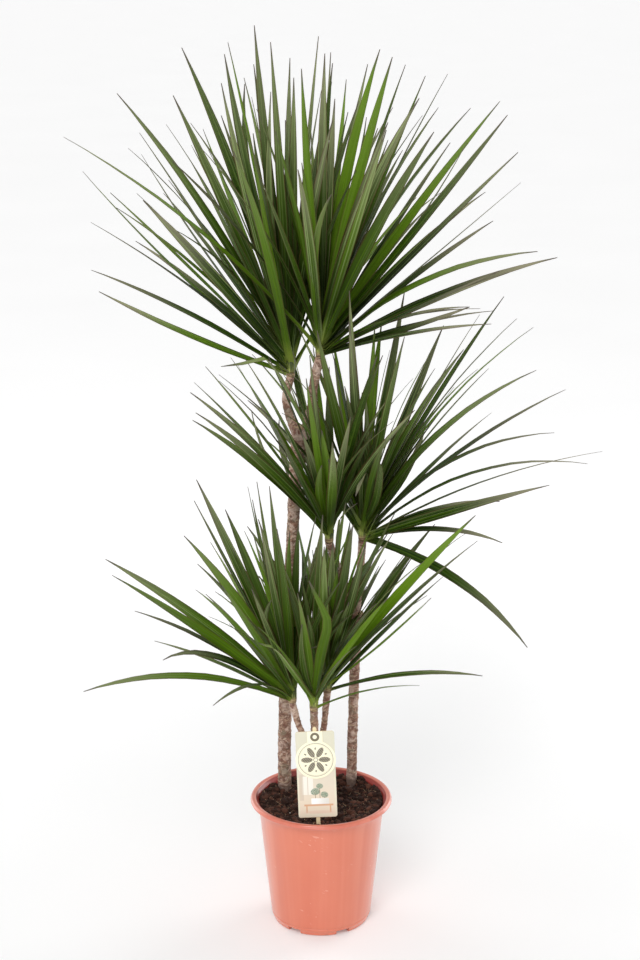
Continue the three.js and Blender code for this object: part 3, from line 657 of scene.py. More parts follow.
def speck_finish(look):
    f = Finish("white_specks")
    bits = f.noise(f.place(), 900.0, 2.0)
    f.colour = f.mix(bits, srgb(200, 192, 178), look.speck)
    return f.finish(0.85, (bits, 0.0004, 0.6))


class Drawing:
    """Flat printed shapes on a label, in millimetres from its middle and its lower edge."""

    def __init__(self, finish):
        u, v, _ = finish.split(finish.add("ShaderNodeTexCoord")["UV"])
        self.x = (u - 0.5) * (CARD_WIDTH / MM)
        self.z = v * (CARD_HEIGHT / MM)

    def ellipse(self, x, z, half_width, half_height, turn=0.0, soft=0.12):
        c, s = unit(turn)
        dx, dz = self.x - x, self.z - z
        across = (dx * c + dz * s) / half_width
        up = (dz * c - dx * s) / half_height
        return (across * across + up * up).step(1.0 + soft, 1.0 - soft)

    def box(self, left, right, low, high, soft=0.25):
        sides = self.x.step(left - soft, left + soft) * self.x.step(right + soft, right - soft)
        return sides * self.z.step(low - soft, low + soft) * self.z.step(high + soft, high - soft)

    def ring(self, z, radius, thickness, soft=0.12):
        dz = self.z - z
        off = abs((self.x * self.x + dz * dz).root() - radius)
        return off.step(thickness / 2 + soft, thickness / 2 - soft)

    def strokes(self, pitch, turn):
        """Slanting pen strokes."""
        c, s = unit(turn)
        return ((self.x * c + self.z * s) * (TURN / pitch)).sine().step(-0.3, 0.3)


def unit(turn):
    """The two parts of a unit vector at an angle in degrees."""
    return math.cos(math.radians(turn)), math.sin(math.radians(turn))


def card_finish(look):
    """Card with a plain drawing: a corner of a room with a bench and three bushes in a trough."""
    f = Finish("label_card")
    d = Drawing(f)
    place = f.place()
    fibre = f.noise(place, 260.0, 4.0, 0.7)
    cloud = f.noise(place, 24.0, 2.0)
    leafage = f.noise(f.vector(d.x, d.z, 0.0), 0.9, 3.0, 0.7)
    panels = d.box(-33, -13, 70, 150) + d.box(13, 33, 70, 150)
    window = d.box(-24, -6, 40, 72, 0.5)
    drape = d.box(-29, -22, 30, 76, 0.8) * ((d.x * 3.2).sine() * 0.25 + 0.45)
    bench = d.box(-22, 26, 20, 23.2, 0.4) + d.box(-19, -16.8, 8, 20.5) + d.box(20, 22.2, 8, 20.5)
    crowns = (d.ellipse(-3, 45, 7.5, 6.0, 10) + d.ellipse(12, 39.5, 6.2, 5.2, -14)
              + d.ellipse(4.5, 54.5, 5.6, 4.6))
    trunks = d.box(-3.6, -2.4, 33, 41) + d.box(11.4, 12.6, 33, 36) + d.box(3.9, 5.1, 33, 51)
    f.colour = f.mix(fibre * 0.5, look.paper, srgb(222, 214, 192))
    f.lay(panels.clamped() * 0.55, srgb(208, 208, 188))
    f.lay(d.box(-29, 29, 6, 80, 0.8) * 0.8,
          f.mix(d.z.step(20, 75), srgb(228, 210, 188), srgb(220, 208, 190)))
    f.lay(window * 0.7, srgb(244, 240, 230))
    f.lay(window * d.box(-15.5, -14.5, 38, 74, 0.3), srgb(205, 188, 168))
    f.lay(drape, srgb(196, 178, 158))
    f.lay(bench.clamped() * 0.85, srgb(214, 160, 118))
    f.lay(d.ellipse(2, 9.5, 23, 2.6, 0, 0.2) * 0.5, srgb(226, 196, 172))
    f.lay(crowns.clamped() * leafage.step(0.36, 0.5),
          f.mix(cloud, srgb(112, 136, 116), srgb(146, 160, 134)))
    f.lay(trunks.clamped() * 0.8, srgb(150, 128, 104))
    f.lay(d.box(-10, 19, 23.2, 33.5, 0.4),
          f.mix(d.x.step(-8, 18), srgb(252, 250, 246), srgb(226, 222, 214)))
    f.lay((1 - d.box(-32.4, 32.4, 0.6, 149.4, 0.3)) * 0.6, srgb(222, 196, 150))
    return f.finish(0.5 + fibre * 0.15, (fibre, 0.0002, 0.3))


def disc_finish(look):
    """Cream card with a ring of petals and buds inside a double line, and an eyelet above."""
    f = Finish("label_disc")
    d = Drawing(f)
    fibre = f.noise(f.place(), 300.0, 4.0, 0.7)
    middle = DISC_HEIGHT / MM
    sprigs = []
    ticks = []
    for turn in range(0, 360, 60):
        c, s = unit(turn)
        bud_c, bud_s = unit(turn + 30)
        sprigs.append(d.ellipse(14.6 * c, middle + 14.6 * s, 9.4, 4.6, turn))
        sprigs.append(d.ellipse(19.5 * bud_c, middle + 19.5 * bud_s, 2.1, 1.3, turn + 30))
        ticks.append(d.ellipse(12.0 * c, middle + 12.0 * s, 9.5, 0.32, turn, 0.3))
    lines = d.ring(middle, 28.6, 0.7) + d.ring(middle, 27.0, 0.35) * 0.6
    outline = d.ring(middle, 3.4, 0.8) + sum(ticks)
    ink = (sum(sprigs).clamped() * (0.68 + 0.32 * d.strokes(3.0, 38)) + lines + outline).clamped()
    f.colour = f.mix(fibre * 0.45, look.cream, srgb(244, 236, 206))
    f.lay(ink * 0.92, look.ink)
    f.lay(d.ring(140.5, 5.5, 4.0, 0.3) * 0.9, srgb(78, 66, 40))
    return f.finish(0.55 + fibre * 0.12, (fibre - ink * 0.5, 0.0002, 0.35))


def stake_finish(look):
    f = Finish("label_stake")
    grain = f.noise(f.place(), (900, 900, 30))
    f.colour = f.mix(grain, srgb(222, 200, 156), look.stake)
    return f.finish(0.6 + grain * 0.15, (grain, 0.0003, 0.5))


def floor_finish(look):
    """Pale paper that glows a little more the farther it lies from the plant."""
    f = Finish("floor_paper")
    place = f.place()
    x, y, _ = f.split(place)
    glow = f.mix((x * x + y * y).root().step(0.5, 3.5), (0.16, 0.16, 0.16), (0.5, 0.5, 0.5))
    f.colour = f.mix(f.noise(place, 1.3, 2.0), srgb(222, 222, 222), look.floor)
    return f.finish(0.9, Specular_IOR_Level=0.1, Emission_Color=glow, Emission_Strength=1.0)


# ---- Leaves ----

def through(places, values, where):
    """The value at a place of the parabola through three (place, value) pairs."""
    total = values[0] * 0
    for i in range(3):
        share = 1.0
        for j in range(3):
            if j != i:
                share *= (where - places[j]) / (places[i] - places[j])
        total = total + values[i] * share
    return total


def rings_from_tip(tip):
    """The three-sided rings of a blade from its tip down, as far as they are whole."""
    seen = {tip}
    ring = [edge.other_vert(tip) for edge in tip.link_edges]
    rings = []
    while len(ring) == 3 and len(rings) < len(STATIONS):
        rings.append(ring)
        seen.update(ring)
        linked = [edge.other_vert(vertex) for vertex in ring for edge in vertex.link_edges]
        ring = [vertex for vertex in dict.fromkeys(linked) if vertex not in seen]
    return rings


def section(ring):
    """Middle, half width and upward direction of a three-sided ring: the corner that faces its
    longest side is the keel."""
    points = [vertex.co.copy() for vertex in ring]
    sides = [(points[i - 1] - points[i - 2]).length for i in range(3)]
    keel = points[sides.index(max(sides))]
    left, right = [point for point in points if point is not keel]
    middle = (left + right) / 2
    return middle, (left - right).length / 2, (middle - keel).normalized()


def read_blades(node):
    """The blades of a packed head: for each the rows (place, middle, half width, up) to its tip."""
    mesh = bmesh.new()
    mesh.from_mesh(node.data)
    bmesh.ops.remove_doubles(mesh, verts=mesh.verts, dist=1e-6)
    blades = []
    for tip in [vertex for vertex in mesh.verts if len(vertex.link_edges) == 3]:
        rings = rings_from_tip(tip)
        if len(rings) < 3:
            continue
        places = STATIONS[::-1][:len(rings)]
        rows = [(place, *section(ring)) for place, ring in zip(places, rings)][::-1]
        low = rows[:3]
        steps = [row[0] for row in low]
        for place in [STATIONS[0], 0.0][len(rings) - 3:]:
            middle = through(steps, [row[1] for row in low], place)
            half = rows[-3][2] if place else ROOT_WIDTH * max(row[2] for row in rows)
            rows.insert(0, (place, middle, half, low[0][3]))
        rows.append((1.0, tip.co.copy(), 0.0, rows[-1][3]))
        blades.append(rows)
    mesh.free()
    return blades


def aim(rows):
    """Direction from a blade's root to its tip."""
    return (rows[-1][1] - rows[0][1]).normalized()


def between(blades, share, rng):
    """Younger blades that fill a head: each lies between two neighbours and is a little shorter."""
    young = []
    ways = [aim(rows) for rows in blades]
    for _ in range(round(share * len(blades))):
        i = rng.randrange(len(blades))
        near = sorted(range(len(blades)), key=lambda j: -ways[i].dot(ways[j]))
        one, other = blades[i], blades[rng.choice(near[1:NEIGHBOURS + 1])]
        part = rng.uniform(0.35, 0.65)
        size = rng.uniform(0.62, 0.92)
        bow = Vector((rng.uniform(-1, 1), rng.uniform(-1, 1), rng.uniform(-0.6, 1)))
        bow = bow * rng.uniform(0.0, LARGEST_BOW)
        root = one[0][1].lerp(other[0][1], part)
        rows = []
        for (place, a, half_a, up_a), (_, b, half_b, up_b) in zip(one, other):
            middle = root + (a.lerp(b, part) - root) * size + bow * 4 * place * (1 - place)
            half = (half_a + half_b) * YOUNG_WIDTH
            rows.append((place, middle, half, up_a.lerp(up_b, part).normalized()))
        young.append(rows)
    return young


def swayed(rows, twist, sway, rng):
    """A blade that turns about itself on its way and whose tip hangs a little aside."""
    turn = rng.uniform(-twist, twist)
    spread = aim(rows)
    aside = Vector((rng.uniform(-1, 1), rng.uniform(-1, 1), rng.uniform(-1, 0.2)))
    aside = (aside - spread * aside.dot(spread)) * sway
    return [(place, middle + aside * place ** 3, half,
             Matrix.Rotation(turn * place ** 1.5, 3, spread) @ up) for place, middle, half, up in rows]


def blade_shape():
    """Blades along lines: a unit tube is bent along each line and flattened to a channelled blade."""
    g = Shape("leaf_blades", Lines="Geometry", Sections=16, Thickness=0.001, Channel=0.2,
              Ripple=0.0005, Material="Material")
    lines = g.curves(8)
    count = g.add("GeometryNodeAttributeDomainSize", lines, component="CURVE")["Spline Count"]
    points = g.store(g.add("GeometryNodePoints", count), "leaf", g.add("GeometryNodeInputIndex"), "INT")
    tube = g.add("GeometryNodeMeshCylinder", fill_type="NGON", Vertices=6, Side_Segments=g["Sections"],
                 Radius=1.0, Depth=1.0)
    tube = g.store(tube, "unit", g.add("GeometryNodeInputPosition"), "FLOAT_VECTOR")
    blades = g.add("GeometryNodeInstanceOnPoints", points, Instance=tube)
    blades = g.add("GeometryNodeRealizeInstances", blades)
    upper, aside, depth = g.split(g.named("unit", "FLOAT_VECTOR"))
    across = aside * (-1 / EDGE_PLACE)
    along = depth + 0.5
    leaf = g.named("leaf", "INT")

    def sample(name, kind):
        return g.add("GeometryNodeSampleCurve", lines, mode="FACTOR", data_type=kind, Curve_Index=leaf,
                     Value=g.named(name, kind), Factor=(along * (1 / TIP_PLACE)).lower_of(1.0))

    width = sample("half_width", "FLOAT")
    side = g.vectors("NORMALIZE", sample("side", "FLOAT_VECTOR"))
    up = g.vectors("NORMALIZE", g.vectors("CROSS_PRODUCT", width["Tangent"], side))
    half = width.higher_of(LEAST_HALF_WIDTH) * (1 - along.step(0.72, 1.0) * 0.12)
    body = g["Thickness"] * (1 - along.step(0.55, 1.0) * 0.55) * 0.5
    curl = 1 + along.step(0.1, 0.0) * 2.2 - along.step(0.1, 0.6) * 0.6 + along.step(0.7, 1.0) * 0.5
    channel = half * g["Channel"] * curl * g.chance(0.45, 1.45, ID=leaf)
    waves = g.noise(g.vector(along * 5.0, leaf, 0.0), 1.0, 2.0) - 0.5
    ripple = waves * g["Ripple"] * along.step(0.1, 0.3)
    lift = body * upper + channel * (abs(across) - 0.5) + ripple
    moved = g.vectors("ADD", width["Position"], g.scaled(side, half * across))
    moved = g.vectors("ADD", moved, g.scaled(up, lift))
    blades = g.add("GeometryNodeSetPosition", blades, Position=moved)
    age = sample("age", "FLOAT")
    for name, value in (("along", along), ("across", across), ("upper", upper), ("age", age)):
        blades = g.store(blades, name, value)
    g.close(g.add("GeometryNodeRemoveAttribute", blades, Name="unit"))
    return g


class LeafLook(bpy.types.PropertyGroup):
    sections: IntProperty(name="Sections", description="Sections along a blade", default=12, min=8, max=40)
    thickness: length("Thickness", "Thickness of a blade in its middle", 0.0011, 0.0005, 0.003)
    channel: number("Channel", "How far a blade's edges rise, as a share of its half width",
                    0.38, 0.0, 0.8, subtype="FACTOR")
    twist: number("Twist", "How far a blade may turn about itself up to its tip",
                  math.radians(34), 0.0, 1.5, subtype="ANGLE")
    sway: length("Sway", "How far a tip may hang aside", 0.008, 0.0, 0.03)
    extra: number("Filling blades", "Blades that fill a head, as a share of the others",
                  0.45, 0.0, 1.0, subtype="FACTOR")
    ripple: length("Ripple", "Height of the slow waves along a blade", 0.0012, 0.0, 0.01)
    dark_green: colour("Dark green", "Shaded green of the blades", 18, 40, 3)
    light_green: colour("Light green", "Fresh green of the blades", 106, 144, 24)
    # Painted shade laid on the inner halves of the blades
    shaded_green: colour("Shaded green", "Darker green of the inner halves", 8, 20, 0)
    # Painted sheen along some blades
    streak: colour("Streak", "Long pale streaks along some blades", 148, 166, 108)
    underside: colour("Underside", "Grey-green of the blades' backs", 58, 80, 18)
    # Wear of old blades and a painted grey sheen on outer halves
    worn: colour("Worn", "Grey-brown of old blades and outer halves", 150, 144, 122)
    margin: colour("Margin", "Purple-brown line along the blades' edges", 80, 50, 36)
    base: colour("Base", "Pale base of the blades", 150, 160, 76)
    tip: colour("Tip", "Dry tip of the blades", 88, 80, 74)


class PLANT_OT_leaves(bpy.types.Operator):
    """Grows the fine blades of all heads along the blades of the solid model"""
    bl_idname = "plant.leaves"
    bl_label = "Leaves"

    def execute(self, context):
        look = context.scene.leaf_look
        finish, core = leaf_finish(look), core_finish(look)
        shape = blade_shape()
        rng = random.Random(SEED)
        for name, base in HEADS.items():
            blades = read_blades(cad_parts[name])
            blades += between(blades, look.extra, rng)
            lines, halves, sides, ages = [], [], [], []
            for rows in [swayed(rows, look.twist, look.sway, rng) for rows in blades]:
                middles = [row[1] for row in rows]
                lines.append(middles)
                ages += [1.0 - min(max((aim(rows).z - 0.25) / 0.6, 0.0), 1.0)] * len(rows)
                for i, (_, _, half, up) in enumerate(rows):
                    ahead = middles[min(i + 1, len(rows) - 1)] - middles[max(i - 1, 0)]
                    halves.append(half)
                    sides.append(up.cross(ahead.normalized()).normalized())
            source = lines_object(name + "_lines", lines, half_width=halves, side=sides, age=ages)
            piece = shape.grow(source, name + "_blades", Sections=look.sections, Thickness=look.thickness,
                               Channel=look.channel, Ripple=look.ripple, Material=finish)
            piece.data.set_sharp_from_angle(angle=math.radians(FOLD_ANGLE))
            settle(piece, name)
            settle(head_core(name + "_core", Vector(base) * MM, core), name)
        return {"FINISHED"}


def head_core(name, base, material):
    """The short stem inside a head that the blades clasp."""
    profile = [(radius * MM, height * MM) for radius, height in CORE_PROFILE]
    piece = turned(name, rounded(profile, 2), ROD_SIDES)
    rise = piece.data.attributes.new("along", "FLOAT", "POINT")
    rise.data.foreach_set("value", [v.co.z / profile[-1][1] for v in piece.data.vertices])
    piece.data.transform(Matrix.Translation(base))
    return smooth(piece, material)


# ---- Canes ----

def cane_shape():
    """Woody stems along lines, with leaf scars round them in a spiral."""
    g = Shape("cane_bark", Lines="Geometry", Step=0.0016, Sides=40, Pitch=0.0075, Depth=0.0006,
              Material="Material")
    lines = g.add("GeometryNodeResampleCurve", g.curves(16), mode="LENGTH", Length=g["Step"])
    spline = g.add("GeometryNodeSplineParameter")
    lines = g.store(g.store(lines, "run", spline["Length"]), "share", spline["Factor"])
    circle = g.add("GeometryNodeCurvePrimitiveCircle", g["Sides"], mode="RADIUS", Radius=1.0)
    circle = g.store(circle, "turn", g.add("GeometryNodeSplineParameter"))
    canes = g.add("GeometryNodeCurveToMesh", lines, circle, g.named("thick"), True)
    run, turn, stem, share = [g.named(name) for name in ("run", "turn", "stem", "share")]
    place = g.add("GeometryNodeInputPosition")
    wander = (g.noise(place, 42.0, 2.0) - 0.5) * 2.0
    level = run / g["Pitch"] + wander + stem * 0.37

    def row_of_scars(shift):
        """Pale crescents and the cracks under them, one a row, each at its own side."""
        row = (level + shift).floored()
        within = level + shift - row
        facing = (turn * TURN - row * GOLDEN_ANGLE - shift * math.pi).cosine()
        crescent = within - (0.62 - facing * 0.3)
        reach = facing.step(-0.15, 0.35)
        below = crescent + 0.16
        return (abs(crescent).step(0.13, 0.03) * reach,
                below.step(-0.12, 0.0) * below.step(0.13, 0.02) * reach)

    (scar, crack), (other_scar, other_crack) = row_of_scars(0.0), row_of_scars(0.5)
    scar = scar.higher_of(other_scar) * g.noise(place, 60.0, 2.0).step(0.36, 0.56)
    crack = crack.higher_of(other_crack) * (1 - scar) * g.noise(place, 85.0, 2.0).step(0.38, 0.6)
    lumps = (g.noise(place, 70.0) - 0.5) * BARK_LUMP + (g.noise(place, 330.0, 2.0) - 0.5) * BARK_GRAIN
    lift = ((scar * 0.8 - crack) * g["Depth"] + lumps) * share.step(0.0, 0.01) * share.step(1.0, 0.985)
    offset = g.scaled(g.add("GeometryNodeInputNormal"), lift)
    canes = g.add("GeometryNodeSetPosition", canes, Offset=offset)
    cut = share.step(0.9975, 0.9995) * stem.step(0.6, 0.4)
    for name, value in (("scar", scar), ("crack", crack), ("cut", cut)):
        canes = g.store(canes, name, value)
    g.close(canes)
    return g


class CaneLook(bpy.types.PropertyGroup):
    pitch: length("Scar pitch", "Height between leaf scars along a cane", 0.0105, 0.003, 0.03)
    depth: length("Scar depth", "How far leaf scars stand out of the bark", 0.0009, 0.0, 0.002)
    bark: colour("Bark", "Main colour of the bark", 162, 128, 109)
    bark_dark: colour("Dark bark", "Grey-brown of the bark", 108, 80, 68)
    bark_pale: colour("Pale bark", "Pale pinkish patches", 205, 182, 168)
    bark_red: colour("Red bark", "Red-brown blotches", 120, 78, 66)
    bark_green: colour("Green bark", "Grey-green patches", 128, 124, 104)
    crack: colour("Crack", "Red-brown of the grooves under the scars", 86, 52, 42)
    scar: colour("Scar", "Pale lines of the leaf scars", 222, 200, 170)


class PLANT_OT_canes(bpy.types.Operator):
    """Grows the bark of the three canes and their branches"""
    bl_idname = "plant.canes"
    bl_label = "Canes"

    def execute(self, context):
        look = context.scene.cane_look
        finish, shape = bark_finish(look), cane_shape()
        for name, stems in CANES.items():
            lines = [[Vector(row[:3]) * MM for row in rows] for rows in stems]
            thick = [row[3] * MM for rows in stems for row in rows]
            stem = [float(i) for i, rows in enumerate(stems) for _ in rows]
            source = lines_object(name + "_lines", lines, thick=thick, stem=stem)
            piece = shape.grow(source, name + "_bark", Pitch=look.pitch, Depth=look.depth, Material=finish)
            settle(piece, name)
        return {"FINISHED"}


# ---- Pot and soil ----

class PotLook(bpy.types.PropertyGroup):
    body: colour("Body", "Terracotta colour of the plastic", 207, 104, 76)
    body_light: colour("Light body", "Lighter clouds in the plastic", 221, 124, 93)
    rim: colour("Rim", "Colour of the rolled rim", 204, 104, 84)
    # A darker red that paints the shade inside the pot
    inside: colour("Inside", "Colour of the pot's inside", 150, 40, 30)


class PLANT_OT_pot(bpy.types.Operator):
    """Turns the plastic pot with its rolled rim, foot and drain holes"""
    bl_idname = "plant.pot"
    bl_label = "Pot"

    def execute(self, context):
        def wall(height, inward=0.0):
            return wall_radius(height) - inward, height

        foot = [(0, 0), (PAD_RADIUS, 0), (PAD_RADIUS + 0.002, HEEL_HEIGHT),
                (FOOT_INNER_RADIUS - 0.002, HEEL_HEIGHT), (FOOT_INNER_RADIUS, 0),
                (FOOT_RADIUS - 0.0005, 0), (FOOT_RADIUS + 0.0008, HEEL_HEIGHT - 0.0024),
                (HEEL_RADIUS - 0.002, HEEL_HEIGHT - 0.0014), (HEEL_RADIUS, HEEL_HEIGHT + 0.002)]
        outside = [wall(GROOVE_HEIGHT - 0.001), wall(GROOVE_HEIGHT, GROOVE_DEPTH),
                   wall(GROOVE_HEIGHT + 0.001), *[wall(height) for height in WALL_HEIGHTS],
                   (wall_radius(RIM_HEIGHT) - 0.0003, RIM_HEIGHT - 0.0008)]
        rim = [(RIM_RADIUS - 0.0016, RIM_HEIGHT), (RIM_RADIUS + 0.0002, RIM_HEIGHT + 0.003),
               (RIM_RADIUS - 0.0006, POT_HEIGHT - 0.0036), (RIM_RADIUS - 0.0024, POT_HEIGHT + 0.0004),
               (RIM_INNER_RADIUS + 0.001, POT_HEIGHT), (RIM_INNER_RADIUS - 0.0002, POT_HEIGHT - 0.0025)]
        inside = [(wall_radius(RIM_HEIGHT) - WALL + 0.0006, RIM_HEIGHT + 0.001),
                  (wall_radius(RIM_HEIGHT) - WALL, RIM_HEIGHT - 0.002),
                  *[wall(height, WALL) for height in (*WALL_HEIGHTS[::-1], FLOOR_HEIGHT)],
                  (0, FLOOR_HEIGHT)]
        piece = turned("pot_shell", rounded(foot + outside + rim + inside), POT_SIDES)
        cutters = []
        for i in range(FOOT_COUNT):
            low = (FOOT_INNER_RADIUS - 0.006, -FOOT_GAP / 2, -0.002)
            high = (HEEL_RADIUS + 0.006, FOOT_GAP / 2, FOOT_GAP_HEIGHT)
            turn = (i + 0.5) * TURN / FOOT_COUNT - TURN / 4 + FOOT_TURN
            cutters.append(block(f"foot_gap_{i}", low, high, turn))
        for i, (x, y, _) in enumerate(ring_points(DRAIN_CIRCLE, 0, DRAIN_COUNT)):
            cutters.append(rod(f"drain_{i}", DRAIN_RADIUS, HEEL_HEIGHT - 0.001, FLOOR_HEIGHT + 0.001, x, y))
        piece = carved(piece, cutters)
        settle(smooth(piece, pot_finish(context.scene.pot_look), 35), "pot")
        return {"FINISHED"}


def soil_height(x, y):
    """The rough surface of the solid model's soil."""
    waves = math.sin(x / 0.009) * math.cos(y / 0.011) + math.sin((x + 2 * y) / 0.017) * 0.8
    return SOIL_HEIGHT + SOIL_WAVE * waves


def edge_rise(x, y, edge):
    """How far the soil climbs near the wall."""
    away = math.hypot(x, y)
    near = min(max((away / edge - 0.72) / 0.28, 0.0), 1.0)
    return near * near * (3 - 2 * near) * (SOIL_EDGE_RISE + SOIL_SIDE_RISE * (x / max(away, MM)) ** 2)


def kept_in(piece):
    """Presses what would pass through the pot's wall against its inside."""
    for vertex in piece.data.vertices:
        x, y, z = vertex.co
        most = (wall_radius(min(z, RIM_HEIGHT)) - WALL - BIT_GAP) / max(math.hypot(x, y), MM)
        if most < 1:
            vertex.co = (x * most, y * most, z)
    return piece


def scatter_shape():
    """Bits strewn over a surface, each turned, scaled and toned at random."""
    g = Shape("strewn_bits", Ground="Geometry", Density=1000.0, Size=0.002, Length=1.0,
              Roughness=0.4, Seed=1, Material="Material")
    points = g.add("GeometryNodeDistributePointsOnFaces", g["Ground"], distribute_method="RANDOM",
                   Density=g["Density"], Seed=g["Seed"])
    points = g.store(points, "own", g.chance(0.0, 1.0, Seed=g["Seed"] + 5))
    ball = g.add("GeometryNodeMeshIcoSphere", 1.0, 1)
    place = g.add("GeometryNodeInputPosition")
    bump = (g.noise(place, 1.6, 2.0) - 0.5) * g["Roughness"] * 2.0
    ball = g.add("GeometryNodeSetPosition", ball, Offset=g.scaled(place, bump))
    size = g.chance(0.35, 1.0, Seed=g["Seed"] + 9) * g["Size"]
    turn = g.chance((-0.5, -0.5, 0.0), (0.5, 0.5, 6.283), Seed=g["Seed"] + 13)
    g.close(g.add("GeometryNodeInstanceOnPoints", points, Instance=ball, Rotation=turn,
                  Scale=g.scaled(g.vector(g["Length"], 1.0, 0.8), size)))
    return g


class SoilLook(bpy.types.PropertyGroup):
    crumb: length("Crumb size", "Half the size of the largest crumbs", 0.0034, 0.001, 0.01)
    peat_dark: colour("Dark peat", "Dark colour of the peat", 26, 14, 11)
    peat_light: colour("Light peat", "Light colour of the peat", 112, 71, 56)
    fibre_dark: colour("Dark fibre", "Dark colour of the fibres", 70, 46, 34)
    fibre: colour("Fibre", "Light colour of the fibres", 204, 172, 136)
    speck: colour("Speck", "Colour of the white specks", 246, 242, 234)


class PLANT_OT_soil(bpy.types.Operator):
    """Fills the pot with lumpy peat, crumbs, fibres and a few white specks"""
    bl_idname = "plant.soil"
    bl_label = "Soil"

    def execute(self, context):
        look = context.scene.soil_look
        edge = wall_radius(SOIL_HEIGHT) - WALL - SOIL_EDGE_GAP
        bottom = FLOOR_HEIGHT + SEAT_GAP
        profile = [(0, bottom), (wall_radius(FLOOR_HEIGHT) - WALL - 0.004, bottom)]
        profile += [(wall_radius(z) - WALL - SOIL_WALL_GAP, z) for z in (0.03, 0.07, 0.14, 0.185)]
        profile += [(edge * (1 - ring / SOIL_RINGS), SOIL_HEIGHT) for ring in range(SOIL_RINGS + 1)]
        body = turned("soil_body", profile, SOIL_SIDES)
        lumps = soil_lumps(edge)
        for vertex in body.data.vertices:
            x, y, z = vertex.co
            if z >= SOIL_HEIGHT - 0.0001:
                vertex.co.z = soil_height(x, y) + edge_rise(x, y, edge) + sum(
                    rise * max(1 - ((x - lx) ** 2 + (y - ly) ** 2) / width ** 2, 0) ** 2
                    for lx, ly, width, rise in lumps)
        peat = soil_finish(look)
        smooth(body, peat)
        ground = body.data.copy()
        settle(body, "soil")
        shape = scatter_shape()
        keep = bmesh.new()
        keep.from_mesh(ground)
        low = [face for face in keep.faces if face.calc_center_median().z < SOIL_HEIGHT - 0.008
               or face.calc_center_median().xy.length > edge - 0.001]
        bmesh.ops.delete(keep, geom=low, context="FACES")
        keep.to_mesh(ground)
        keep.free()
        fibre, speck = fibre_finish(look), speck_finish(look)
        for name, density, size, long, rough, seed, material in (
                ("soil_lumps", 7000.0, 2.1, 1.3, 0.9, 17, peat),
                ("soil_crumbs", 34000.0, 0.9, 1.5, 0.9, 11, peat),
                ("soil_fibres", 14000.0, 0.14, 22.0, 0.2, 23, fibre),
                ("soil_specks", 420.0, 0.42, 1.1, 0.4, 31, speck)):
            piece = shape.grow(as_object(name + "_ground", ground.copy()), name, Density=density,
                               Size=look.crumb * size, Length=long, Roughness=rough, Seed=seed,
                               Material=material)
            settle(kept_in(piece), "soil")
        return {"FINISHED"}


def soil_lumps(edge):
    """Lumps and dips all over the soil and round the canes: place, width and height of each."""
    rng = random.Random(LUMP_SEED)
    lumps = []
    for _ in range(LUMP_COUNT):
        reach, angle = edge * math.sqrt(rng.random()), rng.random() * TURN
        lumps.append((reach * math.cos(angle), reach * math.sin(angle), rng.uniform(0.006, 0.014),
                      rng.uniform(-0.004, 0.006)))
    for stems in CANES.values():
        x, y, _, radius = stems[0][1]
        for i in range(8):
            angle = i * TURN / 8 + rng.random()
            reach = (radius + rng.uniform(1, 9)) * MM
            lumps.append((x * MM + reach * math.cos(angle), y * MM + reach * math.sin(angle),
                          rng.uniform(0.012, 0.02), rng.uniform(0.0, 0.006)))
    return lumps


# ---- Label ----

def flat_sheet(name, outline, front, thickness, bevel, material):
    """A sheet cut to an outline of (x, z) points, with soft edges and a UV map over the card's width
    and height. Its back lies off the map, so nothing is printed there."""
    count = len(outline)
    points = [(x, y, z) for y in (front, front + thickness) for x, z in outline]
    faces = [tuple(range(count)), tuple(range(2 * count - 1, count - 1, -1))]
    faces += [(i, i + count, (i + 1) % count + count, (i + 1) % count) for i in range(count)]
    piece = mesh_object(name, points, faces)
    mesh = bmesh.new()
    mesh.from_mesh(piece.data)
    bmesh.ops.recalc_face_normals(mesh, faces=mesh.faces)
    rims = [edge for edge in mesh.edges if edge.calc_face_angle(0) > CORNER_ANGLE]
    bmesh.ops.bevel(mesh, geom=rims, offset=bevel, segments=2, affect="EDGES", profile=0.5)
    layer = mesh.loops.layers.uv.new("UVMap")
    for face in mesh.faces:
        aside = OFF_THE_MAP if face.calc_center_median().y > front + thickness / 2 else 0.0
        for loop in face.loops:
            x, _, z = loop.vert.co
            loop[layer].uv = (x / CARD_WIDTH + 0.5 + aside, z / CARD_HEIGHT)
    mesh.to_mesh(piece.data)
    mesh.free()
    lean = Matrix.Rotation(-LABEL_LEAN, 4, "X") @ Matrix.Rotation(-LABEL_ROLL, 4, "Y")
    piece.data.transform(Matrix.Translation(LABEL_PLACE) @ lean)
    return smooth(piece, material, 50)


def arc(x, z, radius, start, end, steps):
    return [(x + radius * math.cos(start + (end - start) * i / steps),
             z + radius * math.sin(start + (end - start) * i / steps)) for i in range(steps + 1)]


class LabelLook(bpy.types.PropertyGroup):
    paper: colour("Paper", "Colour of the card", 228, 219, 196)
    cream: colour("Cream", "Colour of the round disc", 252, 245, 216)
    ink: colour("Ink", "Colour of the printed lines", 58, 44, 30)
    stake: colour("Stake", "Colour of the wooden stake", 242, 226, 186)


